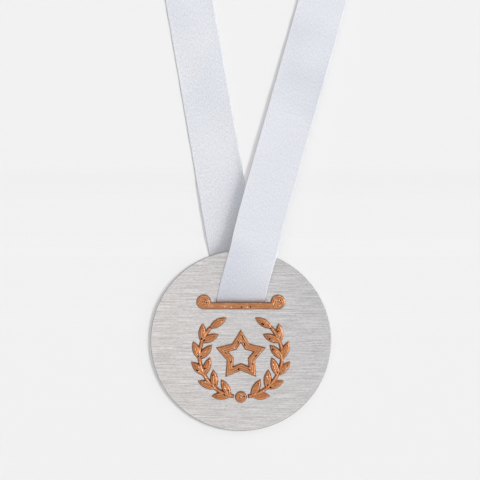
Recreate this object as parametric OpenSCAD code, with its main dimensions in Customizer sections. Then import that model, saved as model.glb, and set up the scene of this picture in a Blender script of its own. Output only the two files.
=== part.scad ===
// Finisher medal as it hangs when worn: a steel disc on a satin neck ribbon.
// X runs to the right, Y to the back, Z up. The modules work from the disc's centre, and hang()
// moves the result so that the origin is where the ribbon bears on the nape of the neck.

/* [Disc] */
// Diameter of the disc
disc_d = 84; // [80:1:90]
// Thickness of the plate that the disc is cut from
disc_t = 3; // [2:0.5:4]
// Radius of the softened edge around the rim
rim_r = 0.5; // [0.2:0.1:0.8]
// Height of the bridge of metal between the slot and the rim
bridge_h = 22.4; // [20:0.2:24]
// Height of the ribbon slot
slot_h = 4.2; // [3.4:0.2:5]
// Radius of the slot's corners
slot_corner_r = 1.6; // [0.6:0.1:1.6]
// Room between each edge of the ribbon and the end of the slot
slot_side_gap = 1.2; // [1:0.1:2]

/* [Emblem] */
// Width of the printed strokes
stroke = 3.4; // [2.8:0.1:3.8]
// Height of the printed pieces above their adhesive
print_t = 2; // [1.2:0.1:3]
// Thickness of the adhesive film under each printed piece
film_t = 0.15; // [0.1:0.05:0.3]
// Diameter of the round ends of the slot bar
bar_end_d = 7; // [5:0.5:8]
// Gap between each end of the slot and the round end of the bar beside it
bar_end_gap = 1.2; // [0.6:0.1:2.5]
// Gap between the fold of the ribbon and the slot bar below it
bar_gap = 0.2; // [0.1:0.1:0.8]
// Height of the slot bar above the centre of the wreath
wreath_drop = 23.2; // [22.8:0.1:25]
// Radius of the wreath's two stems
wreath_r = 19.2; // [18.4:0.1:20]
// Width of a stem
stem_w = 2; // [1.4:0.1:2.6]
// Length of a leaf
leaf_l = 9.6; // [8.4:0.2:10.4]
// Width of a leaf
leaf_w = 3.9; // [3:0.1:4.4]
// Depth by which the foot of each leaf lies inside the stem
leaf_sink = 1; // [0.6:0.1:1.4]
// Angle between a leaf and its stem
leaf_tilt = 32; // [26:1:36]
// Pairs of leaves on a stem
leaf_pairs = 5; // [4:1:6]
// Stem from its lowest leaves to its tip, as an angle of the wreath
stem_sweep_angle = 118; // [104:1:124]
// Bare stem below its lowest leaves, as an angle of the wreath
stem_bare_angle = 6; // [4:1:8]
// Diameter of the round tie between the stems
tie_d = 5.6; // [4:0.2:6.4]
// Gap between the tie and each stem
tie_gap = 0.4; // [0.2:0.1:1]
// Radius of the star's points
star_r = 12.4; // [10.6:0.1:12.8]
// Radius of the notches between the star's points
star_notch_r = 7; // [6.4:0.1:7.6]

/* [Ribbon] */
// Width of the ribbon
ribbon_w = 22.2; // [19:0.2:25]
// Thickness of the ribbon
ribbon_t = 0.4; // [0.3:0.05:0.6]
// Gap between the ribbon and the metal that it lies on
lay_gap = 0.3; // [0.2:0.05:0.5]
// How far the fold in the slot hangs below the ribbon's straight part
fold_h = 1.9; // [1.4:0.1:2.4]
// Lean of the front strand where it lies on the disc, in degrees
front_low_lean = 12.5; // [8:0.5:18]
// Lean of the front strand above the disc, in degrees
front_lean = 15.8; // [10:0.2:20]
// Lean of the back strand to the other side, in degrees
back_lean = 9.8; // [6:0.2:16]
// Depth below the fold's start at which the middle lines of both strands would meet
meet_drop = 1; // [0:0.5:3]

/* [Neck loop] */
// Height of the collar, where the strands turn back over the shoulders, above the disc's centre
collar_h = 225; // [180:5:300]
// Height of the nape above the collar
nape_rise = 68; // [50:2:90]
// Depth of the loop, from the collar to the nape
neck_depth = 112; // [95:1:130]
// Sideways place of the nape, from the disc's centre
nape_x = 12; // [4:1:20]
// Length of the pull that carries each strand up over the shoulder
shoulder_pull = 62; // [50:1:75]
// Length of the pull that brings each strand round the neck
nape_pull = 66; // [55:1:80]
// Tilt of the ribbon on the nape, in degrees
nape_tilt = 15; // [0:1:25]
// Length of the sewn lap at the nape
lap_l = 24; // [18:1:32]
// Gap between the two layers of the lap
lap_gap = 0.1; // [0.05:0.05:0.2]

/* [Seam] */
// Stitches in each row of the seam
stitches = 7; // [5:1:8]
// Length of a stitch
stitch_l = 2; // [1.4:0.1:2.2]
// Thickness of the thread
thread_d = 0.3; // [0.2:0.05:0.4]
// Distance of each row of stitches from the end of the lap
seam_inset = 3; // [2:0.5:5]

/* [Swing] */
// Height of the swing's axis above the rim of the disc
axis_h = 13; // [12:0.5:16]
// Length of the ribbon that bends when the disc swings
flex_l = 18; // [12:1:20]

/* [Hidden] */

$fn = 96;
steel = [0.78, 0.77, 0.75];
copper = [0.74, 0.45, 0.27];
film_grey = [0.85, 0.85, 0.83];
satin = [0.88, 0.89, 0.93];
thread_white = [0.95, 0.95, 0.96];

disc_r = disc_d / 2;
slot_top = disc_r - bridge_h;
slot_w = ribbon_w / cos(front_low_lean) + 2 * slot_side_gap;
slot_mid = slot_top - slot_h / 2;

// The ribbon's middle surface lies this far in front of and behind the middle of the plate.
strand_y = disc_t / 2 + lay_gap + ribbon_t / 2;
// The fold is half an ellipse below fold_z. It clears the two corners of the bridge by lay_gap.
corner_share = (disc_t / 2) / (strand_y - ribbon_t / 2);
fold_z = slot_top - lay_gap + (fold_h - ribbon_t / 2) * sqrt(1 - corner_share * corner_share);
fold_low = fold_z - fold_h - ribbon_t / 2;
// Both strands point at this height above the disc's centre, where their middle lines would meet.
meet_z = fold_z - meet_drop;
fold_steps = 16;

bar_l = slot_w + bar_end_d + 2 * bar_end_gap;
bar_z = fold_low - bar_gap - stroke / 2;
wreath_z = bar_z - wreath_drop;
film_front = -disc_t / 2 - film_t;
print_front = film_front - print_t;
// A leaf is where two round discs of this radius overlap.
leaf_arc_r = (leaf_l * leaf_l + leaf_w * leaf_w) / (4 * leaf_w);
// A stem turns by this angle, on average, over the length of a leaf.
leaf_bend = asin(leaf_l / (2 * wreath_r));
// The wreath's foot is straight below its centre, and both stems start beside the tie there.
foot_angle = 270;
stem_start = 2 * asin((tie_d / 2 + tie_gap) / (2 * wreath_r));
leaf_start = stem_start + stem_bare_angle;
leaf_step = stem_sweep_angle / leaf_pairs;

axis_z = disc_r + axis_h;
flex_low = axis_z - flex_l / 2;
flex_high = axis_z + flex_l / 2;
flex_steps = 6;
shoulder_steps = 24;

function unit(v) = v / norm(v);
// Part of v that stands square to the unit vector t, made one long
function square_to(v, t) = unit(v - (v * t) * t);
function smooth(s) = s * s * (3 - 2 * s);
function mix(a, b, s) = (1 - s) * a + s * b;

// Lean of each strand at a height. The front one turns a little within the bend above the disc.
function front_tan(z) = mix(tan(front_low_lean), tan(front_lean), min(max((z - flex_low) / flex_l, 0), 1));
function front_x(z) =
    z <= flex_low ? tan(front_low_lean) * (z - meet_z)
    : z <= flex_high ? front_x(flex_low) + (front_tan(flex_low) + front_tan(z)) / 2 * (z - flex_low)
    : front_x(flex_high) + tan(front_lean) * (z - flex_high);
function back_x(z) = -tan(back_lean) * (z - meet_z);
// Above the disc both strands close in on the collar's plane.
function closing(z) = z <= flex_low ? 1 : (collar_h - z) / (collar_h - flex_low);

// A station of the ribbon holds its middle, half of the line across it, and half of its thickness.
// On the strands that line is level, so it is longer than half the width by 1 / cos(lean).
function level_half(slope) = [ribbon_w / 2 * sqrt(1 + slope * slope), 0, 0];
half_thick = [0, ribbon_t / 2, 0];
function front_station(z) = [[front_x(z), -strand_y * closing(z), z], level_half(front_tan(z)), half_thick];
function back_station(z) = [[back_x(z), strand_y * closing(z), z], level_half(tan(back_lean)), half_thick];

// The fold's stations run from the front face (0 degrees) under the bridge to the back (180).
function fold_station(angle) =
    let (s = angle / 180, out = unit([0, -cos(angle) / strand_y, -sin(angle) / fold_h]))
    [[mix(front_x(fold_z), back_x(fold_z), s), -strand_y * cos(angle), fold_z - fold_h * sin(angle)],
     mix(level_half(tan(front_low_lean)), level_half(tan(back_lean)), s), ribbon_t / 2 * out];
// The same station, met from the other way along the ribbon
function turned(s) = [s[0], s[1], -s[2]];

// At the collar each strand ends square to its run.
function strand_way(side) =
    unit(side == 1 ? [tan(front_lean), strand_y / (collar_h - flex_low), 1]
                   : [-tan(back_lean), -strand_y / (collar_h - flex_low), 1]);
function collar_mid(side) = side == 1 ? front_station(collar_h)[0] : back_station(collar_h)[0];
function collar_station(side) = free_station(collar_mid(side), strand_way(side), [1, 0, 0]);
// A station square to the way that the ribbon runs
function free_station(p, way, across) =
    let (t = unit(way), a = square_to(across, t)) [p, a * ribbon_w / 2, cross(t, a) * ribbon_t / 2];

nape_across = [0, sin(nape_tilt), -cos(nape_tilt)];
nape_out = [0, cos(nape_tilt), sin(nape_tilt)];
nape_mid = [nape_x, neck_depth, collar_h + nape_rise];
// side is 1 for the right shoulder, whose end lies inside, and -1 for the left, whose end lies outside.
function lap_mid(side) = nape_mid + (side == 1 ? 0 : ribbon_t + lap_gap) * nape_out;
function lap_end(side, reach) = lap_mid(side) + [side * reach, 0, 0];
function bezier(p, t) =
    pow(1 - t, 3) * p[0] + 3 * pow(1 - t, 2) * t * p[1] + 3 * (1 - t) * t * t * p[2] + pow(t, 3) * p[3];
function bezier_way(p, t) =
    pow(1 - t, 2) * (p[1] - p[0]) + 2 * (1 - t) * t * (p[2] - p[1]) + t * t * (p[3] - p[2]);
function shoulder_stations(side) =
    let (foot = collar_mid(side), way = strand_way(side), top = lap_end(side, lap_l / 2),
         p = [foot, foot + shoulder_pull * way, top + [side * nape_pull, 0, 0], top],
         low_across = square_to([1, 0, 0], way), high_across = side * nape_across)
    concat([for (i = [0 : shoulder_steps]) let (t = i / shoulder_steps)
                free_station(bezier(p, t), bezier_way(p, t), mix(low_across, high_across, smooth(t)))],
           [free_station(lap_end(side, -lap_l / 2), [-side, 0, 0], high_across)]);

// A flat strip with a four-cornered section that runs through all of its stations. Both of its faces
// split each stretch along the same diagonal, so the strip keeps its thickness where it twists.
module strip(stations) {
    corners = [for (s = stations) let (low = s[0] - s[2], high = s[0] + s[2])
               each [low - s[1], low + s[1], high + s[1], high - s[1]]];
    last = 4 * (len(stations) - 1);
    walls = [for (i = [0 : len(stations) - 2], j = [0 : 3])
             let (low = 4 * i + j, next = 4 * i + (j + 1) % 4, high = low + 4, high_next = next + 4)
             each j < 2 ? [[low, high_next, next], [low, high, high_next]]
                        : [[low, high, next], [next, high, high_next]]];
    ends = [[0, 2, 3], [0, 1, 2], [last, last + 2, last + 1], [last, last + 3, last + 2]];
    polyhedron(corners, concat(walls, ends), convexity = 6);
}

// Moves the model's origin from the disc's centre to the ribbon's inner face at the nape
module hang() translate(-(nape_mid - nape_out * ribbon_t / 2)) children();

// Stands a flat outline up in the plane of the disc, with its front face at y = front
module upright(front, depth) translate([0, front + depth, 0]) rotate([90, 0, 0])
    linear_extrude(depth) children();

module slot_outline() translate([0, slot_mid]) {
    square([slot_w - 2 * slot_corner_r, slot_h], center = true);
    square([slot_w, slot_h - 2 * slot_corner_r], center = true);
    for (x = [-1, 1], z = [-1, 1])
        translate([x * (slot_w / 2 - slot_corner_r), z * (slot_h / 2 - slot_corner_r)]) circle(slot_corner_r);
}

module rim_profile() {
    translate([0, rim_r]) square([disc_r, disc_t - 2 * rim_r]);
    square([disc_r - rim_r, disc_t]);
    for (z = [rim_r, disc_t - rim_r]) translate([disc_r - rim_r, z]) circle(rim_r, $fn = 32);
}

module disc() color(steel) hang() difference() {
    translate([0, disc_t / 2, 0]) rotate([90, 0, 0]) rotate_extrude($fn = 180) rim_profile();
    upright(-disc_t, 2 * disc_t) slot_outline();
}

module bar_outline() {
    translate([0, bar_z]) square([bar_l, stroke], center = true);
    for (side = [-1, 1])
        translate([side * bar_l / 2, bar_z + (bar_end_d - stroke) / 2]) circle(d = bar_end_d);
}

// Leaf that points along +X, with its foot just behind the origin
module leaf() translate([leaf_l / 2 - leaf_sink, 0]) intersection() {
    translate([0, leaf_arc_r - leaf_w / 2]) circle(leaf_arc_r);
    translate([0, leaf_w / 2 - leaf_arc_r]) circle(leaf_arc_r);
}

// One branch of the wreath, on the left of the disc. Angles run clockwise from the wreath's foot.
module branch_outline() translate([0, wreath_z]) {
    intersection() {
        difference() {
            circle(wreath_r + stem_w / 2);
            circle(wreath_r - stem_w / 2);
        }
        polygon(concat([[0, 0]], [for (i = [0 : 6])
            let (a = foot_angle - mix(stem_start, leaf_start + stem_sweep_angle, i / 6))
            2 * wreath_r * [cos(a), sin(a)]]));
    }
    for (i = [0 : leaf_pairs]) rotate(foot_angle - leaf_start - i * leaf_step) translate([wreath_r, 0]) {
        if (i < leaf_pairs) for (tilt = [-leaf_tilt, leaf_tilt]) rotate(tilt - leaf_bend - 90) leaf();
        else rotate(-leaf_bend - 90) leaf();
    }
}

module star_shape(r, notch_r)
    polygon([for (i = [0 : 9]) (i % 2 == 0 ? r : notch_r) * [sin(36 * i), cos(36 * i)]]);
// Distance from the star's centre to the line along each of its edges
star_edge = star_r * star_notch_r * sin(36)
    / sqrt(star_r * star_r + star_notch_r * star_notch_r - 2 * star_r * star_notch_r * cos(36));
star_inner = 1 - stroke / star_edge;
module star_outline() translate([0, wreath_z]) difference() {
    star_shape(star_r, star_notch_r);
    star_shape(star_inner * star_r, star_inner * star_notch_r);
}

module tie_outline() translate([0, wreath_z - wreath_r]) circle(d = tie_d);

module print_piece() color(copper) hang() upright(print_front, print_t) children();
module film_piece() color(film_grey) hang() upright(film_front, film_t) children();

module slot_bar() print_piece() bar_outline();
module laurel_left() print_piece() branch_outline();
module laurel_right() print_piece() mirror([1, 0]) branch_outline();
module wreath_tie() print_piece() tie_outline();
module star() print_piece() star_outline();

module slot_bar_film() film_piece() difference() {
    bar_outline();
    slot_outline();
}
module laurel_left_film() film_piece() branch_outline();
module laurel_right_film() film_piece() mirror([1, 0]) branch_outline();
module wreath_tie_film() film_piece() tie_outline();
module star_film() film_piece() star_outline();

// The ribbon's lower end rides with the disc: down the front, under the bridge and up the back.
module ribbon_fold() color(satin) hang() strip(concat(
    [turned(front_station(flex_low))],
    [for (i = [0 : fold_steps]) fold_station(180 * i / fold_steps)],
    [back_station(flex_low)]));

function flex_height(i) = mix(flex_low, flex_high, i / flex_steps);
module ribbon_front_flex() color(satin) hang()
    strip([for (i = [0 : flex_steps]) front_station(flex_height(i))]);
module ribbon_back_flex() color(satin) hang()
    strip([for (i = [0 : flex_steps]) back_station(flex_height(i))]);
module ribbon_front_strand() color(satin) hang() strip([front_station(flex_high), collar_station(1)]);
module ribbon_back_strand() color(satin) hang() strip([back_station(flex_high), collar_station(-1)]);
module ribbon_right_shoulder() color(satin) hang() strip(shoulder_stations(1));
module ribbon_left_shoulder() color(satin) hang() strip(shoulder_stations(-1));

// Stitches show on both faces of the lap, in one row near each of its ends.
module seam_thread() color(thread_white) hang() {
    pitch = (ribbon_w - 2 * seam_inset) / (stitches - 1);
    inner = lap_mid(1) - nape_out * (ribbon_t / 2 + thread_d);
    outer = lap_mid(-1) + nape_out * ribbon_t / 2;
    for (face = [inner, outer], side = [-1, 1], i = [0 : stitches - 1])
        translate(face + [side * (lap_l / 2 - seam_inset), 0, 0])
            translate(nape_across * (i - (stitches - 1) / 2) * pitch)
            rotate([nape_tilt, 0, 0])
            translate([-thread_d / 2, 0, -stitch_l / 2])
            cube([thread_d, thread_d, stitch_l]);
}

disc();
slot_bar();
laurel_left();
laurel_right();
wreath_tie();
star();
slot_bar_film();
laurel_left_film();
laurel_right_film();
wreath_tie_film();
star_film();
ribbon_fold();
ribbon_front_flex();
ribbon_back_flex();
ribbon_front_strand();
ribbon_back_strand();
ribbon_right_shoulder();
ribbon_left_shoulder();
seam_thread();
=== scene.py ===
# %% [markdown]
# # A finisher medal on its neck ribbon
#
# This lesson dresses a sports medal that was first drawn as plain solids. The real object is a round plate
# of brushed steel with a slot near its top, a copper-coloured emblem printed in plastic and stuck on its
# face, and one satin ribbon that runs through the slot, over both shoulders, and is sewn at the nape.
#
# The solids give every place and size. This script keeps them and adds what the eye expects: grain,
# print lines, woven cloth, stitches and soft edges. All lengths in the cells are in millimetres from the
# disc's centre, because that is how a maker would measure them, and `at` turns them into the frame's metres.
# Only the sizes inside the materials are in metres, or in centimetres where a material reads a UV map.

# %% Load the frame
import math

import bmesh
import bpy
import numpy as np
from mathutils import Matrix, Vector


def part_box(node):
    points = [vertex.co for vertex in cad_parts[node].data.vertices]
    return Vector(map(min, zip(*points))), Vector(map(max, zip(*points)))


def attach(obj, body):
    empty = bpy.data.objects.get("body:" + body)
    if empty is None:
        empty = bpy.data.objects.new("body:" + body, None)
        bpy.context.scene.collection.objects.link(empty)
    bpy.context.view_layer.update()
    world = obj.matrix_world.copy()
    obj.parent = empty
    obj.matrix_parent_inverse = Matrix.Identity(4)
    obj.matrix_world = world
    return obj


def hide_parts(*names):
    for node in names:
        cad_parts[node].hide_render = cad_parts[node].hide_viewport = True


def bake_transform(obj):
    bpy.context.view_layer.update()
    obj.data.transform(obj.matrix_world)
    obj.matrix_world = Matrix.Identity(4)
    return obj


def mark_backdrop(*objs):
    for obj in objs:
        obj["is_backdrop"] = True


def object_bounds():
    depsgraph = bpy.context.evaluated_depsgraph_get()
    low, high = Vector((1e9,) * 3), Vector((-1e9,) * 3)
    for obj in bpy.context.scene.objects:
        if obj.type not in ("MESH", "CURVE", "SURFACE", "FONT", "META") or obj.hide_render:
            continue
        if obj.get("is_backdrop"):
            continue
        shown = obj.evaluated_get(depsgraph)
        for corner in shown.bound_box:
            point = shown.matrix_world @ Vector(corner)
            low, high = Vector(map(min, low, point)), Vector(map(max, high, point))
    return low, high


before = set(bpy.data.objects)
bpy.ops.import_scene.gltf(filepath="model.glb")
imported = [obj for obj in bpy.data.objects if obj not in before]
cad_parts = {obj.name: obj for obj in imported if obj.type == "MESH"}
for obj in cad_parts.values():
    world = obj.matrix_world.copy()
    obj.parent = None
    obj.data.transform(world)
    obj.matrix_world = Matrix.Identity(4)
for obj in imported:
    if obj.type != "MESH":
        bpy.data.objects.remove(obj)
cad_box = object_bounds()
scene = bpy.context.scene
scene.view_settings.view_transform = "Standard"

MM = 0.001
disc_low, disc_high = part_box("disc")
centre = (Vector(disc_low) + Vector(disc_high)) / 2


def at(x, y, z):
    """A point given in millimetres from the disc's centre, in the frame's metres."""
    return centre + Vector((x, y, z)) * MM


print("disc centre in the frame:", [round(value, 4) for value in centre])

# %% [markdown]
# ## The camera
#
# The medal is seen square to its face, with the disc in the lower half of the picture and both strands of
# the ribbon running out of the top. A long lens keeps the disc round. The camera comes first, so that every
# later step can be judged in its view.

# %% Place the camera
DISC_HALF_T = 1.5
SENSOR_W = 36
VIEW_DISTANCE = 560
VIEW_WIDTH = 223.2
VIEW_CENTRE = (-0.37, 46.8)

camera_data = bpy.data.cameras.new("camera")
camera_data.sensor_width = SENSOR_W
camera_data.lens = SENSOR_W * VIEW_DISTANCE / VIEW_WIDTH
camera_data.clip_start = 0.01
camera = bpy.data.objects.new("camera", camera_data)
scene.collection.objects.link(camera)
camera.location = at(VIEW_CENTRE[0], -DISC_HALF_T - VIEW_DISTANCE, VIEW_CENTRE[1])
camera.rotation_euler = (math.radians(90), 0, 0)
scene.camera = camera
print("lens in mm:", round(camera_data.lens, 1))

# %% [markdown]
# ## Helpers for nodes
#
# The studio and every material are node trees. A tree can be drawn by hand in the editor, but in a script a
# few short helpers keep it readable: one adds a node with its inputs, and the others wrap the nodes that come
# back most often.

# %% Make the helpers for nodes


def add(tree, kind, inputs=None, **settings):
    """Adds a node, sets its properties, and sets or links its inputs by name or number."""
    made = tree.nodes.new(kind)
    for name, value in settings.items():
        setattr(made, name, value)
    for name, value in (inputs or {}).items():
        socket = made.inputs[name]
        if isinstance(value, bpy.types.NodeSocket):
            tree.links.new(value, socket)
        elif socket.type == "RGBA":
            socket.default_value = (*value, 1)
        else:
            socket.default_value = value
    return made


def ramp(tree, factor, stops, interpolation="LINEAR"):
    """A colour ramp through (position, colour or grey) stops."""
    made = add(tree, "ShaderNodeValToRGB", {"Fac": factor})
    made.color_ramp.interpolation = interpolation
    elements = made.color_ramp.elements
    while len(elements) < len(stops):
        elements.new(0.5)
    for element, (position, colour) in zip(elements, stops):
        element.position = position
        element.color = (*colour, 1) if hasattr(colour, "__len__") else (colour, colour, colour, 1)
    return made.outputs["Color"]


def maths(tree, operation, first, second=0.0, third=0.0, clamp=False):
    """One Math node's result."""
    inputs = {0: first, 1: second, 2: third}
    return add(tree, "ShaderNodeMath", inputs, operation=operation, use_clamp=clamp).outputs[0]


def remap(tree, value, start, end, low=0.0, high=1.0):
    """Turns start into low and end into high, in proportion between them and level beyond them."""
    inputs = {"Value": value, "From Min": start, "From Max": end, "To Min": low, "To Max": high}
    return add(tree, "ShaderNodeMapRange", inputs).outputs[0]


def mix_value(tree, factor, first, second):
    """A Mix node on two values."""
    return add(tree, "ShaderNodeMix", {0: factor, 2: first, 3: second}, data_type="FLOAT").outputs[0]


def mix_colour(tree, factor, first, second, blend_type="MIX"):
    """A Mix node on two colours."""
    inputs = {0: factor, 6: first, 7: second}
    return add(tree, "ShaderNodeMix", inputs, data_type="RGBA", blend_type=blend_type).outputs[2]


def parts_of(tree, vector):
    """The X, Y and Z of a vector."""
    return add(tree, "ShaderNodeSeparateXYZ", {0: vector}).outputs


def vector_of(tree, x=0.0, y=0.0, z=0.0):
    """A vector from its three parts."""
    return add(tree, "ShaderNodeCombineXYZ", {0: x, 1: y, 2: z}).outputs[0]


def noise(tree, place, scale, detail, roughness=0.5):
    """Soft random tones, from 0 to 1."""
    inputs = {"Vector": place, "Scale": scale, "Detail": detail, "Roughness": roughness}
    return add(tree, "ShaderNodeTexNoise", inputs).outputs["Fac"]


helpers = (add, ramp, maths, remap, mix_value, mix_colour, parts_of, vector_of, noise)
print("helpers for nodes:", [helper.__name__ for helper in helpers])

# %% [markdown]
# ## Light
#
# Brushed steel shows whatever stands in front of it, so the world is bright in front of the medal, like a
# wide paper screen round the camera. The screen is brighter and warmer left of its middle and dimmer and
# cooler right of it, so the plate runs from warm to cool. Round the screen the world is dim, more so up to
# the left than down to the right, and this gives each raised edge its own tone. A soft, wide sun low on the
# right lights the medal and draws the shadow of one strand on the other. A second sun lights nothing but
# the card behind the medal, so that the thin shadows on the card can be set apart from the light on the
# metal. All of this stays at a plain level. What the camera sees behind the object is a plain pale grey,
# set apart from the light through Light Path.

# %% Light the studio
BACKDROP = (0.8879, 0.8879, 0.8879)
SCREEN_LEFT = (1.230, 1.165, 1.125)
SCREEN_RIGHT = (0.345, 0.432, 0.552)
SCREEN_MEAN = (0.940, 0.930, 0.925)
DIM_SIDE = (0.110, 0.111, 0.116)
LIT_SIDE = (0.720, 0.724, 0.732)
BACK_LIGHT = (0.900, 0.900, 0.905)
SCREEN_AXIS = Vector((0.0, -0.989, 0.148))
LIT_AXIS = Vector((0.8, 0.0, -0.6))
LIT_REACH = 0.8
SCREEN_STOPS = [(0.27, SCREEN_MEAN), (0.44, SCREEN_LEFT), (0.56, SCREEN_RIGHT), (0.73, SCREEN_MEAN)]
FRONT_STOPS = [(0.10, 1.0), (0.33, 0.0)]
BEHIND_STOPS = [(0.52, 0.0), (0.74, 1.0)]

world = bpy.data.worlds.new("studio")
scene.world = world
world.use_nodes = True
sky = world.node_tree
sky.nodes.clear()
direction = add(sky, "ShaderNodeTexCoord").outputs["Generated"]


def towards(axis):
    """How far a direction points along an axis, from -1 to 1."""
    inputs = {0: direction, 1: axis}
    return add(sky, "ShaderNodeVectorMath", inputs, operation="DOT_PRODUCT").outputs["Value"]


screen = ramp(sky, remap(sky, parts_of(sky, direction)["X"], -1.0, 1.0), SCREEN_STOPS)
depth = remap(sky, towards(SCREEN_AXIS), 1.0, -1.0)
in_front = ramp(sky, depth, FRONT_STOPS, "EASE")
behind = ramp(sky, depth, BEHIND_STOPS, "EASE")
sides = mix_colour(sky, remap(sky, towards(LIT_AXIS), -LIT_REACH, LIT_REACH), DIM_SIDE, LIT_SIDE)
around = mix_colour(sky, behind, mix_colour(sky, in_front, sides, screen), BACK_LIGHT)
lit = add(sky, "ShaderNodeBackground", {"Color": around}).outputs[0]
seen = add(sky, "ShaderNodeBackground", {"Color": BACKDROP}).outputs[0]
from_camera = add(sky, "ShaderNodeLightPath").outputs["Is Camera Ray"]
mixed = add(sky, "ShaderNodeMixShader", {0: from_camera, 1: lit, 2: seen}).outputs[0]
add(sky, "ShaderNodeOutputWorld", {"Surface": mixed})
print("nodes of the studio:", len(sky.nodes))

# %% Add the two suns
MEDAL_SUN = {"sun_from": (1.0, -0.55, 0.04), "strength": 3.25, "angle": 35}
CARD_SUN = {"sun_from": (1.0, -2.0, 0.35), "strength": 1.95, "angle": 15}


def soft_sun(name, sun_from, strength, angle):
    """An even lamp that shines from a direction, softened by its wide angle."""
    data = bpy.data.lights.new(name, "SUN")
    data.energy = strength
    data.angle = math.radians(angle)
    lamp = bpy.data.objects.new(name, data)
    scene.collection.objects.link(lamp)
    lamp.location = at(0, 0, 0) + Vector(sun_from)
    lamp.rotation_euler = (-Vector(sun_from)).to_track_quat("-Z", "Y").to_euler()
    return lamp


medal_sun = soft_sun("medal_sun", **MEDAL_SUN)
card_sun = soft_sun("card_sun", **CARD_SUN)

# %% [markdown]
# ## Floor and backdrop
#
# The floor is a wide plane below the medal. The camera and the metal mostly see it in the backdrop's grey,
# and the rest of it is plain and matt, a little paler to the camera, and still takes the object's shadow.
# Just behind the medal stands a pale card, which catches the thin shadows of the ribbon and the disc. It
# follows the back of the disc and of the ribbon closely, with a little more room where the ribbon bends when
# the medal swings, and the neck loop starts above its top edge. The card is only seen by the camera and only
# from its front, so it hides nothing from behind, and it takes no light away from the back of the medal.

# %% Lay the floor and stand the card
STRAND_Y = 2.0
COLLAR_Z = 225.0
FLEX_LOW, FLEX_HIGH = 46.0, 64.0
RIBBON_T = 0.4
FLOOR_Z = -110
FLOOR_HALF = 3000
CARD_HALF_W = 175
CARD_HEIGHTS = range(-120, 216, 3)
RIBBON_GAP = 0.3
DISC_GAP = 0.25
BEND_ROOM = 1.3


def closing(z):
    """How far apart the two strands still are at a height, from 1 on the disc to 0 at the collar."""
    return 1.0 if z <= FLEX_LOW else (COLLAR_Z - z) / (COLLAR_Z - FLEX_LOW)


def smooth(value, start=0.0, end=1.0):
    """Goes from 0 at start to 1 at end, with no kink at either."""
    s = min(max((value - start) / (end - start), 0.0), 1.0)
    return s * s * (3 - 2 * s)


def plain_mesh(name, points, faces):
    """A new object at the origin from points in metres."""
    mesh = bpy.data.meshes.new(name)
    mesh.from_pydata([tuple(p) for p in points], [], faces)
    mesh.update()
    obj = bpy.data.objects.new(name, mesh)
    scene.collection.objects.link(obj)
    return obj


def card_y(z):
    """How far behind the disc's middle the card stands at a height."""
    bend_room = BEND_ROOM * smooth(z, 38, 48) * (1 - smooth(z, 66, 82))
    behind_ribbon = STRAND_Y * closing(z) + RIBBON_T / 2 + RIBBON_GAP + bend_room
    behind_disc = DISC_HALF_T + DISC_GAP
    return behind_disc + (behind_ribbon - behind_disc) * smooth(z, 4, 17)


floor_corners = ((-1, -1), (1, -1), (1, 1), (-1, 1))
floor_points = [at(x * FLOOR_HALF, y * FLOOR_HALF, FLOOR_Z) for x, y in floor_corners]
floor = plain_mesh("floor", floor_points, [(0, 1, 2, 3)])
card_points = [at(x, card_y(z), z) for z in CARD_HEIGHTS for x in (-CARD_HALF_W, CARD_HALF_W)]
card_faces = [(2 * i, 2 * i + 1, 2 * i + 3, 2 * i + 2) for i in range(len(CARD_HEIGHTS) - 1)]
card = plain_mesh("backdrop_card", card_points, card_faces)
print("card stands", round(card_y(0), 2), "to", round(card_y(60), 2), "mm behind the middle of the disc")

# %% Paint the floor and the card
MATT_GREY = 0.68
SEEN_GREY = 0.92
GLOW_SEEN = 0.8
GLOW_IN_METAL = 0.95
CARD_PAPER = (0.774, 0.773, 0.772)
PAPER_SHARE = 0.7


def bare_material(name):
    """A material whose tree is empty, and the tree."""
    material = bpy.data.materials.new(name)
    material.use_nodes = True
    material.node_tree.nodes.clear()
    return material, material.node_tree


floor_material, tree = bare_material("pale_floor")
ray = add(tree, "ShaderNodeLightPath").outputs
matt_grey = maths(tree, "MULTIPLY_ADD", ray["Is Camera Ray"], SEEN_GREY - MATT_GREY, MATT_GREY)
matt = add(tree, "ShaderNodeBsdfDiffuse", {"Color": matt_grey}).outputs[0]
glow = add(tree, "ShaderNodeEmission", {"Color": BACKDROP}).outputs[0]
glow_in_metal = maths(tree, "MULTIPLY", ray["Is Glossy Ray"], GLOW_IN_METAL)
glow_share = maths(tree, "MULTIPLY_ADD", ray["Is Camera Ray"], GLOW_SEEN, glow_in_metal)
mixed = add(tree, "ShaderNodeMixShader", {0: glow_share, 1: matt, 2: glow}).outputs[0]
add(tree, "ShaderNodeOutputMaterial", {"Surface": mixed})
floor.data.materials.append(floor_material)

card_material, tree = bare_material("pale_card")
paper = add(tree, "ShaderNodeBsdfDiffuse", {"Color": CARD_PAPER}).outputs[0]
pale = add(tree, "ShaderNodeEmission", {"Color": BACKDROP}).outputs[0]
shaded = add(tree, "ShaderNodeMixShader", {0: PAPER_SHARE, 1: pale, 2: paper}).outputs[0]
clear = add(tree, "ShaderNodeBsdfTransparent").outputs[0]
from_front = maths(tree, "SUBTRACT", 1.0, add(tree, "ShaderNodeNewGeometry").outputs["Backfacing"])
from_camera = add(tree, "ShaderNodeLightPath").outputs["Is Camera Ray"]
shown = maths(tree, "MULTIPLY", from_front, from_camera)
mixed = add(tree, "ShaderNodeMixShader", {0: shown, 1: clear, 2: shaded}).outputs[0]
add(tree, "ShaderNodeOutputMaterial", {"Surface": mixed})
card.data.materials.append(card_material)
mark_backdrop(floor, card)
print("stage materials:", floor_material.name, card_material.name)

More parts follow.
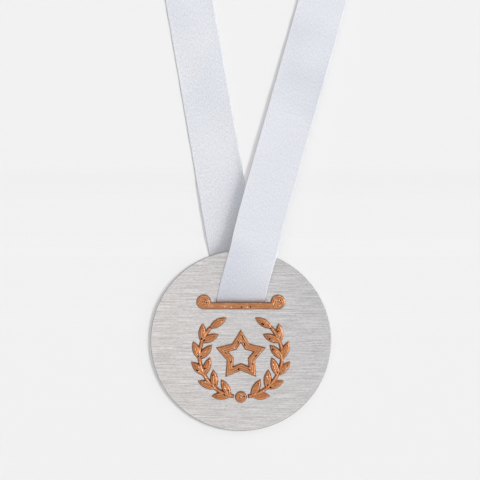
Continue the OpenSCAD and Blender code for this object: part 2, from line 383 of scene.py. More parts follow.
# %% Give each sun its own surfaces
card_only = bpy.data.collections.new("card_only")
card_only.objects.link(card)
card_sun.light_linking.receiver_collection = card_only
all_but_card = bpy.data.collections.new("all_but_card")
all_but_card.objects.link(card)
medal_sun.light_linking.receiver_collection = all_but_card
all_but_card.collection_objects[0].light_linking.link_state = "EXCLUDE"
print("light linking:", card_only.name, all_but_card.name)

# %% [markdown]
# ## Shader groups for surfaces that share an effect
#
# Brushed metal, satin, thread and the printed lines all show a grain that runs one way, and both the print
# and the adhesive carry small scattered marks. The marks are laid out in the plane of the disc's face, so
# every one of them meets the surface. Each effect is a node group with named sockets, built once. The
# groups give values only. The Principled shaders stay in the materials.

# %% Build the shared groups


def new_group(name, inputs, outputs):
    """An empty shader group with float or vector inputs and float outputs."""
    group = bpy.data.node_groups.new(name, "ShaderNodeTree")
    for label, value in inputs.items():
        kind = "NodeSocketVector" if value is None else "NodeSocketFloat"
        socket = group.interface.new_socket(label, in_out="INPUT", socket_type=kind)
        if value is not None:
            socket.default_value = value
    for label in outputs:
        group.interface.new_socket(label, in_out="OUTPUT", socket_type="NodeSocketFloat")
    return group, group.nodes.new("NodeGroupInput").outputs, group.nodes.new("NodeGroupOutput").inputs


def directional_grain():
    """Grain that is long in the first direction and fine in the second and third."""
    inputs = {"Vector": None, "Length": 0.01, "Pitch": 0.0005, "Waver": 0.0}
    group, given, result = new_group("directional_grain", inputs, ["Grain", "Fine grain"])
    waver = maths(group, "MULTIPLY", noise(group, given["Vector"], 120.0, 1.0), given["Waver"])
    parts = parts_of(group, given["Vector"])
    along = maths(group, "DIVIDE", parts["X"], given["Length"])
    depth = maths(group, "DIVIDE", parts["Y"], given["Pitch"])
    across = maths(group, "DIVIDE", maths(group, "ADD", parts["Z"], waver), given["Pitch"])
    stretched = vector_of(group, along, depth, across)
    group.links.new(noise(group, stretched, 1.0, 3.0, 0.6), result["Grain"])
    finer = add(group, "ShaderNodeVectorMath", {0: stretched, 1: (2.2, 3.1, 3.1)}, operation="MULTIPLY")
    group.links.new(noise(group, finer.outputs[0], 1.0, 2.0), result["Fine grain"])
    return group


def scattered_marks():
    """Small round marks in a share of the cells of a grid in the X-Z plane, as a mask from 0 to 1."""
    inputs = {"Vector": None, "Cell": 0.002, "Share": 0.2, "Radius": 0.2}
    group, given, result = new_group("scattered_marks", inputs, ["Mask"])
    parts = parts_of(group, given["Vector"])
    grid = {"Vector": vector_of(group, parts["X"], parts["Z"]),
            "Scale": maths(group, "DIVIDE", 1.0, given["Cell"]), "Randomness": 0.8}
    cells = add(group, "ShaderNodeTexVoronoi", grid, voronoi_dimensions="2D").outputs
    cell_random = add(group, "ShaderNodeSeparateColor", {0: cells["Color"]}).outputs[0]
    drawn = maths(group, "LESS_THAN", cell_random, given["Share"])
    inside = maths(group, "DIVIDE", cells["Distance"], given["Radius"])
    round_mark = maths(group, "SUBTRACT", 1.6, maths(group, "MULTIPLY", inside, 1.6), clamp=True)
    group.links.new(maths(group, "MULTIPLY", drawn, round_mark), result["Mask"])
    return group


GRAIN = directional_grain()
MARKS = scattered_marks()
print("shader groups:", GRAIN.name, MARKS.name)

# %% [markdown]
# ## The disc
#
# The disc is cut from 3 mm steel plate, so its faces are truly flat, and only its edges are eased: the rim by
# a third of a millimetre, the slot by half as much. A bevel modifier would ease both alike. Rings of points
# that are offset from each outline give each edge its own radius, and a flat fill closes the two faces.

# %% Cut the disc with its slot
RIBBON_W = 22.2
FRONT_LEAN = math.radians(12.5)
DISC_R = 42.0
DISC_POINTS = 256
RIM_EASE = 0.3
SLOT_EASE = 0.15
SLOT_ROOM = 1.2
SLOT_W = RIBBON_W / math.cos(FRONT_LEAN) + 2 * SLOT_ROOM
SLOT_H = 4.2
SLOT_MIDDLE_Z = 17.5
SLOT_CORNER_R = 1.6


def circle_loop(radius, count):
    """Points round a circle, anticlockwise as seen from the front."""
    angles = np.arange(count) * 2 * math.pi / count
    return np.stack([radius * np.cos(angles), radius * np.sin(angles)], axis=1)


def round_corner_loop(half_w, half_h, corner_r, arc_steps, side_steps=1):
    """Points round a rectangle with rounded corners, anticlockwise from its upper right corner's arc."""
    middles = [np.array([right * (half_w - corner_r), up * (half_h - corner_r)])
               for right, up in ((1, 1), (-1, 1), (-1, -1), (1, -1))]
    points = []
    for number, middle in enumerate(middles):
        start = number * math.pi / 2
        for step in range(arc_steps + 1):
            angle = start + step / arc_steps * math.pi / 2
            points.append(middle + corner_r * np.array([math.cos(angle), math.sin(angle)]))
        end = start + math.pi / 2
        side_start = points[-1]
        side_end = middles[(number + 1) % 4] + corner_r * np.array([math.cos(end), math.sin(end)])
        for step in range(1, side_steps):
            points.append(side_start + (side_end - side_start) * (step / side_steps))
    return np.array(points)


def eased_rows(ease, steps):
    """(inset, depth) of each ring over the edge of a plate, from its front face round to its back face."""
    rows = []
    for number in range(steps + 1):
        angle = number / steps * math.pi / 2
        rows.append((ease * (1 - math.sin(angle)), -DISC_HALF_T + ease * (1 - math.cos(angle))))
    return rows + [(inset, -depth) for inset, depth in reversed(rows)]


def slot_loop(inset):
    """The slot's outline, widened by an inset."""
    loop = round_corner_loop(SLOT_W / 2 + inset, SLOT_H / 2 + inset, SLOT_CORNER_R + inset, 8)
    return loop + np.array([0, SLOT_MIDDLE_Z])


def disc_mesh():
    """The plate: an eased outer wall, an eased slot wall, and two flat faces between them."""
    mesh = bmesh.new()
    cut_layer = mesh.faces.layers.float.new("cut_edge")

    def wall(loop_at, rows, inward):
        rings = []
        for inset, depth in rows:
            rings.append([mesh.verts.new(at(x, depth, z)) for x, z in loop_at(inset)])
        for first, second in zip(rings, rings[1:]):
            for i in range(len(first)):
                j = (i + 1) % len(first)
                corners = (first[i], first[j], second[j], second[i])
                face = mesh.faces.new(corners if inward else tuple(reversed(corners)))
                face.smooth = True
                face[cut_layer] = 1.0
        return rings[0], rings[-1]

    rims = wall(lambda inset: circle_loop(DISC_R - inset, DISC_POINTS), eased_rows(RIM_EASE, 5), False)
    slots = wall(slot_loop, eased_rows(SLOT_EASE, 2), True)
    for rim_and_slot in zip(rims, slots):
        edges = []
        for ring in rim_and_slot:
            edges += [mesh.edges.get((ring[i], ring[(i + 1) % len(ring)])) for i in range(len(ring))]
        bmesh.ops.triangle_fill(mesh, edges=edges, use_beauty=True)
    bmesh.ops.recalc_face_normals(mesh, faces=mesh.faces[:])
    return mesh


def piece_from(mesh, name):
    """Turns a bmesh into an object at the origin."""
    data = bpy.data.meshes.new(name)
    mesh.to_mesh(data)
    mesh.free()
    obj = bpy.data.objects.new(name, data)
    scene.collection.objects.link(obj)
    return obj


def triangles_of(obj):
    """How many triangles a piece has."""
    return sum(len(face.vertices) - 2 for face in obj.data.polygons)


disc = piece_from(disc_mesh(), "disc_plate")
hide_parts("disc")
print("disc triangles:", triangles_of(disc))

# %% [markdown]
# ## Brushed steel
#
# The plate is brushed by a belt that runs across it, so the grain is level and wavers slightly: scratches
# over a centimetre long and half a millimetre wide, with much shorter hairlines between them. The grain
# changes the tone, the roughness and the height together. Object coordinates keep its size right and let it
# run on over the slot. The cut edges were never brushed: they are darker and rougher, with fine ridges
# across the plate that a cutting beam leaves.

# %% Make the helpers for materials


def new_material(name):
    """A material, its tree, its Principled shader and the piece's own coordinates."""
    material = bpy.data.materials.new(name)
    material.use_nodes = True
    made = material.node_tree
    own_place = add(made, "ShaderNodeTexCoord").outputs["Object"]
    return material, made, made.nodes["Principled BSDF"], own_place


def set_inputs(shader, **values):
    """Sets a shader's constant inputs: underscores stand for the spaces in their names."""
    for name, value in values.items():
        shader.inputs[name.replace("_", " ")].default_value = value


def finish_surface(tree, shader, colour, rough, height, strength, distance):
    """Links a material's colour and roughness, and its height through a Bump node."""
    bump = add(tree, "ShaderNodeBump", {"Height": height, "Strength": strength, "Distance": distance})
    for name, value in (("Base Color", colour), ("Roughness", rough), ("Normal", bump.outputs[0])):
        tree.links.new(value, shader.inputs[name])


def grain(tree, place, length, pitch, waver):
    """Places the directional grain in a material, with that material's own values."""
    inputs = {"Vector": place, "Length": length, "Pitch": pitch, "Waver": waver}
    return add(tree, "ShaderNodeGroup", inputs, node_tree=GRAIN).outputs


def marks(tree, place, cell, share, radius):
    """Places the scattered marks in a material, with that material's own values."""
    inputs = {"Vector": place, "Cell": cell, "Share": share, "Radius": radius}
    return add(tree, "ShaderNodeGroup", inputs, node_tree=MARKS).outputs["Mask"]


def weighed(tree, first, second, share):
    """The sum of two tones, a share of the first and the rest of the second."""
    first_part = maths(tree, "MULTIPLY", first, share)
    return maths(tree, "ADD", first_part, maths(tree, "MULTIPLY", second, 1 - share))


helpers = (new_material, set_inputs, finish_surface, grain, marks, weighed)
print("helpers for materials:", [helper.__name__ for helper in helpers])

# %% Make the brushed steel
STEEL_LIGHT = (0.905, 0.873, 0.852)
STEEL_DARK = (0.590, 0.569, 0.556)
CUT_LIGHT = (0.560, 0.550, 0.540)
CUT_DARK = (0.400, 0.392, 0.385)
CUT_ROUGH = 0.55

steel, tree, shader, place = new_material("brushed_steel")
scratches = grain(tree, place, length=0.014, pitch=0.00055, waver=0.0003)["Grain"]
hairlines = grain(tree, place, length=0.0015, pitch=0.00045, waver=0.0001)["Grain"]
tone = weighed(tree, scratches, hairlines, share=0.62)
face_colour = ramp(tree, tone, [(0.38, STEEL_DARK), (0.62, STEEL_LIGHT)])
face_rough = remap(tree, tone, 0.3, 0.7, 0.36, 0.26)
turned = {"Vector": place, "Rotation": (0, 0, math.radians(90))}
across_plate = add(tree, "ShaderNodeMapping", turned).outputs[0]
ridges = grain(tree, across_plate, length=0.006, pitch=0.00045, waver=0.0002)["Grain"]
cut_colour = ramp(tree, ridges, [(0.38, CUT_DARK), (0.62, CUT_LIGHT)])
cut_edge = add(tree, "ShaderNodeAttribute", attribute_name="cut_edge").outputs["Fac"]
colour = mix_colour(tree, cut_edge, face_colour, cut_colour)
rough = mix_value(tree, cut_edge, face_rough, CUT_ROUGH)
height = mix_value(tree, cut_edge, tone, ridges)
finish_surface(tree, shader, colour, rough, height, strength=0.35, distance=0.00006)
set_inputs(shader, Metallic=1.0, Anisotropic=0.6, Anisotropic_Rotation=0.25)
disc.data.materials.append(steel)
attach(disc, "medal")
print("brushed steel nodes:", len(tree.nodes))

# %% [markdown]
# ## The printed emblem
#
# The emblem is printed in copper-coloured plastic. A printer lays each flat shape as lines that follow its
# outline, one inside the other, so the top shows fine grooves at a constant distance from the edge, and the
# outermost line is rounded over. Each shape here is therefore a function that gives its outline at any inset.
# One helper then raises the wall, which leans in a little, rounds the shoulder, and sinks a groove at each
# line's border. Three lines fill the top of the widest stroke. The UV map keeps the distance along the
# outline and the distance from the edge, for the material. On a wall that distance is negative.

# %% Raise a print from its outlines
FILM_FRONT = -1.65
PRINT_TOP = -3.65
STROKE = 3.4
DRAFT = 0.35
SHOULDER_R = 0.55
SHOULDER_TURNS = (18, 36, 54, 72, 90)
LINE_W = (STROKE - 2 * DRAFT) / 3
GROOVE_HALF_W = 0.19
GROOVE_DEPTH = 0.11
GROOVE_ROOM = 0.1
WALL_EDGE = -0.01
CM_PER_MM = 0.1


def print_rows(half_width, top):
    """(inset, depth, UV distance) of each ring: up the wall, over the shoulder, then across the lines."""
    rows = [(0.0, FILM_FRONT, top - FILM_FRONT), (DRAFT, top + SHOULDER_R, WALL_EDGE)]
    for angle in SHOULDER_TURNS:
        turn = math.radians(angle)
        past_wall = SHOULDER_R * (1 - math.cos(turn))
        rows.append((DRAFT + past_wall, top + SHOULDER_R * (1 - math.sin(turn)), past_wall))
    groove = LINE_W
    while DRAFT + groove + GROOVE_HALF_W < half_width - GROOVE_ROOM:
        for off_groove, sunk in ((-GROOVE_HALF_W, 0), (0, GROOVE_DEPTH), (GROOVE_HALF_W, 0)):
            past_wall = groove + off_groove
            rows.append((DRAFT + past_wall, top + sunk, past_wall))
        groove += LINE_W
    return rows + [(half_width, top, half_width - DRAFT)]


def join_rings(mesh, uv_layer, rings, distances):
    """Quads between successive rings. A ring is a list of (vertex, run along the outline, whole run)."""
    for (first, second), (d1, d2) in zip(zip(rings, rings[1:]), zip(distances, distances[1:])):
        for i in range(len(first)):
            j = (i + 1) % len(first)
            corners = [(first[i], d1), (first[j], d1), (second[j], d2), (second[i], d2)]
            face = mesh.faces.new([corner[0][0] for corner in corners])
            face.smooth = True
            for number, (loop, ((_, run, whole), distance)) in enumerate(zip(face.loops, corners)):
                wraps = j == 0 and number in (1, 2)
                loop[uv_layer].uv = ((whole if wraps else run) * CM_PER_MM, distance * CM_PER_MM)


def runs_along(outline):
    """The distance along a closed outline at each of its points, and its whole length."""
    sides = np.linalg.norm(np.roll(outline, -1, axis=0) - outline, axis=1)
    return np.concatenate([[0], np.cumsum(sides)])


def ring_of(mesh, outline, depth, runs):
    """New vertices on an outline at a depth, each with its run and the whole run."""
    ring = []
    for (x, z), run in zip(outline, runs):
        ring.append((mesh.verts.new((x * MM, depth * MM, z * MM)), run, runs[-1]))
    return ring


def raised_print(outline_at, half_width, top=PRINT_TOP, place=lambda x, z: (x, z)):
    """A closed bmesh of one printed shape, flat on its adhesive, from outline_at(inset)."""
    mesh = bmesh.new()
    uv_layer = mesh.loops.layers.uv.new("print_lines")
    rows = print_rows(half_width, top)
    runs = runs_along(outline_at(0.0))
    rings = []
    for inset, depth, _ in rows:
        placed = [place(x, z) for x, z in outline_at(inset)]
        rings.append(ring_of(mesh, placed, depth, runs))
    join_rings(mesh, uv_layer, rings, [row[2] for row in rows])
    mesh.faces.new([corner[0] for corner in reversed(rings[0])])
    bmesh.ops.remove_doubles(mesh, verts=mesh.verts, dist=0.002 * MM)
    bmesh.ops.dissolve_degenerate(mesh, edges=mesh.edges, dist=0.001 * MM)
    bmesh.ops.recalc_face_normals(mesh, faces=mesh.faces[:])
    return mesh


def button_outline(diameter, count=72):
    """Outlines of a round print."""
    return lambda inset: circle_loop(max(diameter / 2 - inset, 0.0), count)


def bar_outline(length, width, corner_r):
    """Outlines of a straight stroke with rounded corners, which close in on its middle line."""
    def outline(inset):
        inset = min(inset, width / 2)
        half_w, half_h = length / 2 - inset, width / 2 - inset
        return round_corner_loop(half_w, half_h, max(min(corner_r - inset, half_h), 0.0), 6, 24)
    return outline


print("rings from the edge of a stroke to its middle:", len(print_rows(STROKE / 2, PRINT_TOP)))

# %% [markdown]
# ## Copper-coloured print
#
# Silky copper filament is a plastic full of fine mica: warm, partly metallic and lit along its rounded
# edges. The grooves between the lines are painted darker as shade, and short gaps between two lines are
# sunk and painted near-black as shade, in pits drawn round each groove at uneven steps along it. On the
# tops, tiny mica flakes are painted pale as glints of light. The walls show the stacked layers, and they
# are painted a little darker as shade. All of it reads the print's own UV map or its Object coordinates.

# %% Make the copper print
COPPER = (0.675, 0.262, 0.096)
COPPER_DEEP = (0.545, 0.192, 0.064)
COPPER_PALE = (0.800, 0.385, 0.190)
# The flake colour is a painted glint.
PAINTED_FLAKE_GLINT = (0.970, 0.780, 0.640)
# The pit colour is painted shade in the gaps between lines.
PAINTED_PIT_SHADE = (0.006, 0.003, 0.002)
PIT_STEP = 3.0
PIT_SHARE = 0.19
PIT_HALF_L = 0.62
PIT_HALF_W = 0.50
PIT_LEAST = 0.6
PIT_WANDER = 8.0
PIT_LINE_SHIFT = 17.3
PIT_SHARPNESS = 4.0
PIT_SINK = 2.0
LAYER_H = 0.2
# The groove and wall factors darken the colour as painted shade.
PAINTED_GROOVE_SHADE = 0.48
PAINTED_WALL_SHADE = 0.82
FLAKE_GLINT_STRENGTH = 0.8
PRINT_METALLIC = 0.35

copper, tree, shader, place = new_material("copper_print")
edge_map = parts_of(tree, add(tree, "ShaderNodeUVMap", uv_map="print_lines").outputs[0])
from_edge = maths(tree, "DIVIDE", edge_map["Y"], CM_PER_MM)
on_top = maths(tree, "GREATER_THAN", from_edge, 0.0)
on_wall = maths(tree, "SUBTRACT", 1.0, on_top)
line_crest = remap(tree, maths(tree, "PINGPONG", from_edge, LINE_W / 2), 0.04, 0.30)
layer_crest = remap(tree, maths(tree, "PINGPONG", from_edge, LAYER_H / 2), 0.0, 0.06)
line_relief = maths(tree, "MULTIPLY", line_crest, on_top)
relief = maths(tree, "ADD", line_relief, maths(tree, "MULTIPLY", layer_crest, on_wall))

stroke_place = vector_of(tree, edge_map["X"], 0.0, edge_map["Y"])
streaks = grain(tree, stroke_place, length=0.7, pitch=0.036, waver=0.008)["Grain"]
mottle = noise(tree, place, scale=700.0, detail=3.0)
tone = weighed(tree, streaks, mottle, share=0.75)
toned = ramp(tree, tone, [(0.40, COPPER_DEEP), (0.5, COPPER), (0.60, COPPER_PALE)])
# Painted shade: the colour is darkened in the grooves and on the walls.
painted_groove_shade = remap(tree, relief, 0.0, 1.0, PAINTED_GROOVE_SHADE, 1.0)
painted_wall_shade = maths(tree, "MULTIPLY_ADD", on_top, 1 - PAINTED_WALL_SHADE, PAINTED_WALL_SHADE)
shaded = mix_colour(tree, 1.0, toned, maths(tree, "MULTIPLY", painted_groove_shade, painted_wall_shade), "MULTIPLY")
# Painted glints: pale flakes in the colour of the tops.
flake_glints = marks(tree, place, cell=0.0015, share=0.15, radius=0.26)
flake_glints = maths(tree, "MULTIPLY", flake_glints, on_top)
glinted = mix_colour(tree, maths(tree, "MULTIPLY", flake_glints, FLAKE_GLINT_STRENGTH), shaded, PAINTED_FLAKE_GLINT)

line = maths(tree, "ROUND", maths(tree, "DIVIDE", from_edge, LINE_W))
off_line = maths(tree, "SUBTRACT", from_edge, maths(tree, "MULTIPLY", line, LINE_W))
pit_place = maths(tree, "DIVIDE", edge_map["X"], PIT_STEP * CM_PER_MM)
pit_place = maths(tree, "ADD", pit_place, maths(tree, "MULTIPLY", line, PIT_LINE_SHIFT))
wander = noise(tree, place, scale=40.0, detail=0.0)
pit_place = maths(tree, "MULTIPLY_ADD", wander, PIT_WANDER, pit_place)
pit_cells = add(tree, "ShaderNodeTexVoronoi", {"W": pit_place, "Scale": 1.0}, voronoi_dimensions="1D").outputs
pit_random = add(tree, "ShaderNodeSeparateColor", {0: pit_cells["Color"]}).outputs
pit_long = maths(tree, "DIVIDE", pit_cells["Distance"], PIT_HALF_L / PIT_STEP)
pit_long = maths(tree, "DIVIDE", pit_long, maths(tree, "ADD", pit_random[1], PIT_LEAST))
pit_wide = maths(tree, "DIVIDE", off_line, PIT_HALF_W)
pit_squares = maths(tree, "ADD", maths(tree, "POWER", pit_long, 2.0), maths(tree, "POWER", pit_wide, 2.0))
pit_depth = maths(tree, "SUBTRACT", 1.0, maths(tree, "SQRT", pit_squares))
pit_depth = maths(tree, "MULTIPLY", pit_depth, PIT_SHARPNESS, clamp=True)
pit_drawn = maths(tree, "LESS_THAN", pit_random[0], PIT_SHARE)
pit_here = maths(tree, "MULTIPLY", pit_drawn, maths(tree, "GREATER_THAN", line, 0.5))
pits = maths(tree, "MULTIPLY", pit_depth, pit_here)

height = maths(tree, "ADD", relief, maths(tree, "MULTIPLY", tone, 0.5))
height = maths(tree, "SUBTRACT", height, maths(tree, "MULTIPLY", pits, PIT_SINK))
rough = remap(tree, tone, 0.3, 0.7, 0.48, 0.34)
# Painted shade: the pits are near-black in the colour.
colour = mix_colour(tree, pits, glinted, PAINTED_PIT_SHADE)
finish_surface(tree, shader, colour, rough, height, strength=0.5, distance=0.00008)
metallic = maths(tree, "MULTIPLY_ADD", pits, 1 - PRINT_METALLIC, PRINT_METALLIC)
tree.links.new(metallic, shader.inputs["Metallic"])
print("copper print nodes:", len(tree.nodes))

# %% [markdown]
# ## Slot bar, tie and star
#
# The slot bar is a straight stroke with a round button at each end, and the wreath's tie is one button. The
# printer would merge shapes that touch, so the bar and its buttons are joined with an exact union. The star
# is a stroke of constant width: every line across it is a scaled copy of its outer edge, so its rings run
# from the outer edge to the inner one.

# %% Print the slot bar and the tie
BAR_Z = 16.24
BAR_CORNER_R = 0.8
BAR_END_D = 7.0
BAR_END_SINK = 0.03
BAR_ROOM = 1.2
BAR_HALF_L = (SLOT_W + BAR_END_D + 2 * BAR_ROOM) / 2
WREATH_Z = BAR_Z - 23.2
WREATH_R = 19.2
TIE_D = 5.6


def moved(obj, x, z):
    """Moves a print's points from the middle of the emblem's plane to their place on the disc."""
    obj.data.transform(Matrix.Translation(at(x, 0, z)))
    return obj


def mesh_with_modifiers(obj):
    """A new plain mesh of an object as its modifiers leave it."""
    bpy.context.view_layer.update()
    return bpy.data.meshes.new_from_object(obj.evaluated_get(bpy.context.evaluated_depsgraph_get()))


def union(base, others):
    """Joins solid prints that overlap into one closed skin."""
    for other in others:
        step = base.modifiers.new("union", "BOOLEAN")
        step.operation = "UNION"
        step.solver = "EXACT"
        step.object = other
    joined = mesh_with_modifiers(base)
    base.modifiers.clear()
    base.data = joined
    for other in others:
        bpy.data.objects.remove(other)
    return base


def finish_print(obj, node):
    """Gives a print its material and its body, and hides its CAD node."""
    obj.data.materials.clear()
    obj.data.materials.append(copper)
    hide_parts(node)
    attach(obj, "medal")
    print(obj.name, "triangles:", triangles_of(obj))


stroke_mesh = raised_print(bar_outline(2 * BAR_HALF_L, STROKE, BAR_CORNER_R), STROKE / 2)
bar = moved(piece_from(stroke_mesh, "slot_bar_print"), 0, BAR_Z)
ends = []
for way in (-1, 1):
    end_mesh = raised_print(button_outline(BAR_END_D), BAR_END_D / 2, PRINT_TOP - BAR_END_SINK)
    end = piece_from(end_mesh, "bar_end")
    ends.append(moved(end, way * BAR_HALF_L, BAR_Z + (BAR_END_D - STROKE) / 2))
finish_print(union(bar, ends), "slot_bar")

tie = piece_from(raised_print(button_outline(TIE_D), TIE_D / 2), "wreath_tie_print")
finish_print(moved(tie, 0, WREATH_Z - WREATH_R), "wreath_tie")

# %% Print the star
STAR_R = 12.4
STAR_NOTCH_R = 7.0
STAR_TIP_CUT = 0.7
STAR_NOTCH_CUT = 0.35
STAR_SIDE_STEPS = 12
STAR_TURN = math.radians(36)
# Added to the run on the second half of a stroke, so that its pits don't mirror those of the first half.
OTHER_HALF = 31.7


def star_outline():
    """A five-pointed star whose ten corners are rounded, anticlockwise from its top."""
    corners = []
    for number in range(10):
        angle = math.radians(90 + 36 * number)
        radius = STAR_R if number % 2 == 0 else STAR_NOTCH_R
        corners.append(radius * np.array([math.cos(angle), math.sin(angle)]))
    points = []
    for number, corner in enumerate(corners):
        next_corner = corners[(number + 1) % 10]
        before, after = corners[number - 1] - corner, next_corner - corner
        side_l = np.linalg.norm(after)
        cut, next_cut = (STAR_TIP_CUT, STAR_NOTCH_CUT) if number % 2 == 0 else (STAR_NOTCH_CUT, STAR_TIP_CUT)
        first = corner + before / side_l * cut
        last = corner + after / side_l * cut
        for t in (0, 0.25, 0.5, 0.75, 1):
            points.append((1 - t) ** 2 * first + 2 * t * (1 - t) * corner + t * t * last)
        far = next_corner - after / side_l * next_cut
        for step in range(1, STAR_SIDE_STEPS):
            points.append(last + (far - last) * step / STAR_SIDE_STEPS)
    return np.array(points)


def star_mesh():
    """Rings from the star's outer wall, over the stroke, and down its inner wall."""
    mesh = bmesh.new()
    uv_layer = mesh.loops.layers.uv.new("print_lines")
    outline = star_outline()
    side_l = math.sqrt(STAR_R ** 2 + STAR_NOTCH_R ** 2 - 2 * STAR_R * STAR_NOTCH_R * math.cos(STAR_TURN))
    edge_reach = STAR_R * STAR_NOTCH_R * math.sin(STAR_TURN) / side_l
    half = print_rows(STROKE / 2, PRINT_TOP)
    rows = half + [(STROKE - inset, depth, distance) for inset, depth, distance in reversed(half[:-1])]
    runs = runs_along(outline)
    rings = [ring_of(mesh, outline * (1 - inset / edge_reach), depth, runs) for inset, depth, _ in rows]
    distances = [row[2] for row in rows]
    inner_rings = [[(vertex, run + OTHER_HALF, whole + OTHER_HALF) for vertex, run, whole in ring]
                   for ring in rings[len(half) - 1:]]
    join_rings(mesh, uv_layer, rings[:len(half)], distances[:len(half)])
    join_rings(mesh, uv_layer, inner_rings + [rings[0]], distances[len(half) - 1:] + [distances[0]])
    bmesh.ops.recalc_face_normals(mesh, faces=mesh.faces[:])
    return mesh


star = moved(piece_from(star_mesh(), "star_print"), 0, WREATH_Z)
finish_print(star, "star")

# %% [markdown]
# ## One laurel leaf and one stem
#
# A leaf is where two round discs overlap, so the distance from any point to its edge is known exactly, and
# with it the leaning wall, the rounded shoulder, a low crown and the printed lines. A shallow vein runs down
# the middle. The stem is a thin stroke with round ends, bent round the wreath's circle and printed a little
# lower, so the leaves seem to lie on it.

# %% Shape the leaf
LEAF_L = 9.6
LEAF_W = 3.9
LEAF_SINK = 1.0
LEAF_CROWN = 0.22
LEAF_ARC_R = (LEAF_L ** 2 + LEAF_W ** 2) / (4 * LEAF_W)
LEAF_STATIONS = 36
EDGE_SHARES = [0.0, 0.155, 0.165, 0.19, 0.23, 0.28, 0.35, 0.44, 0.54, 0.64, 0.74, 0.83, 0.89, 0.945]
VEIN_HALF_W = 0.26
VEIN_DEPTH = 0.3
VEIN_RISE = 0.9
UNDERSIDE = -1.45


def leaf_height(x, z):
    """The leaf's surface above a point, and how far past the wall's top that point is."""
    from_edge = max(LEAF_ARC_R - math.hypot(x, abs(z) + LEAF_ARC_R - LEAF_W / 2), 0.0)
    wall_top = PRINT_TOP + SHOULDER_R + LEAF_CROWN
    if from_edge < DRAFT:
        down = 1 - from_edge / DRAFT
        return wall_top + (FILM_FRONT - wall_top) * down, WALL_EDGE - (FILM_FRONT - wall_top) * down
    past_wall = from_edge - DRAFT
    short = max(SHOULDER_R - past_wall, 0.0)
    drop = SHOULDER_R - math.sqrt(SHOULDER_R ** 2 - short ** 2)
    dip = LEAF_CROWN * (1 - past_wall / (LEAF_W / 2 - DRAFT))
    vein = VEIN_DEPTH * max(1 - abs(z) / VEIN_HALF_W, 0.0) * smooth(past_wall / VEIN_RISE)
    phase = abs((past_wall + LINE_W / 2) % LINE_W - LINE_W / 2)
    groove = GROOVE_DEPTH * max(1 - phase / GROOVE_HALF_W, 0.0) if past_wall > SHOULDER_R else 0.0
    return PRINT_TOP + drop + dip + vein + groove, past_wall


def leaf_mesh():
    """A leaf along +X with its foot just behind the origin: stations along it, points across each."""
    mesh = bmesh.new()
    uv_layer = mesh.loops.layers.uv.new("print_lines")
    across = [share - 1 for share in EDGE_SHARES] + [0.0] + [1 - share for share in reversed(EDGE_SHARES)]
    rows = []
    for number in range(LEAF_STATIONS + 1):
        u = number / LEAF_STATIONS
        x = -LEAF_L / 2 * (0.6 * math.cos(math.pi * u) + 0.4 * (1 - 2 * u))
        half_w = math.sqrt(LEAF_ARC_R ** 2 - x * x) - (LEAF_ARC_R - LEAF_W / 2)
        at_tip = number in (0, LEAF_STATIONS)
        row = []
        for z in ([0.0] if at_tip else [share * half_w for share in across]):
            top, past_wall = leaf_height(x, z)
            place_x = x + LEAF_L / 2 - LEAF_SINK
            foot = mesh.verts.new((place_x * MM, FILM_FRONT * MM, z * MM))
            meets = FILM_FRONT - top < 0.001
            crest = foot if meets else mesh.verts.new((place_x * MM, top * MM, z * MM))
            row.append((crest, foot, place_x, past_wall))
        rows.append(row * len(across) if at_tip else row)

    def face(corners):
        kept = []
        for corner in corners:
            if corner[0] not in [other[0] for other in kept]:
                kept.append(corner)
        if len(kept) > 2:
            made = mesh.faces.new([corner[0] for corner in kept])
            made.smooth = True
            for loop, (_, run, distance) in zip(made.loops, kept):
                loop[uv_layer].uv = (run * CM_PER_MM, distance * CM_PER_MM)

    for i in range(LEAF_STATIONS):
        for j in range(len(across) - 1):
            cells = [rows[i][j], rows[i + 1][j], rows[i + 1][j + 1], rows[i][j + 1]]
            half_offset = 0.0 if j < len(across) // 2 else OTHER_HALF
            face([(crest, run + half_offset, distance) for crest, _, run, distance in cells])
            face([(foot, run, UNDERSIDE) for _, foot, run, _ in reversed(cells)])
    bmesh.ops.recalc_face_normals(mesh, faces=mesh.faces[:])
    return mesh


leaf = piece_from(leaf_mesh(), "leaf_shape")
print("points of a leaf:", len(leaf.data.vertices))

# %% Shape the stem
STEM_W = 2.0
STEM_CORNER_R = 0.9
STEM_TOP = PRINT_TOP + 0.3
STEM_TIE_GAP = 0.4
STEM_START = 2 * math.degrees(math.asin((TIE_D / 2 + STEM_TIE_GAP) / (2 * WREATH_R)))
LEAF_START = STEM_START + 6
LEAF_SWEEP = 118


def stem_mesh():
    """A stroke bent round the wreath, clockwise from its foot, about the wreath's centre."""
    length = math.radians(LEAF_START + LEAF_SWEEP - STEM_START) * WREATH_R

    def round_the_wreath(x, z):
        angle = math.radians(270 - STEM_START) - (x + length / 2) / WREATH_R
        radius = WREATH_R + z
        return radius * math.cos(angle), radius * math.sin(angle)

    return raised_print(bar_outline(length, STEM_W, STEM_CORNER_R), STEM_W / 2, STEM_TOP, round_the_wreath)


stem = piece_from(stem_mesh(), "stem_shape")
print("points of a stem:", len(stem.data.vertices))

# %% [markdown]
# ## The laurel branches
#
# Eleven equal leaves follow the stem in pairs, with one at its tip. That is a rule, so Geometry Nodes place
# them: a row of points is numbered, each number gives a pair and a side, and those give the angle round the
# wreath and the tilt of the leaf. The second branch is the same tree with its side turned over. A union
# merges the leaves and the stem into one skin, as the printer would, and the tree ends in Realize Instances
# and Set Material.

# %% Build the branch tree


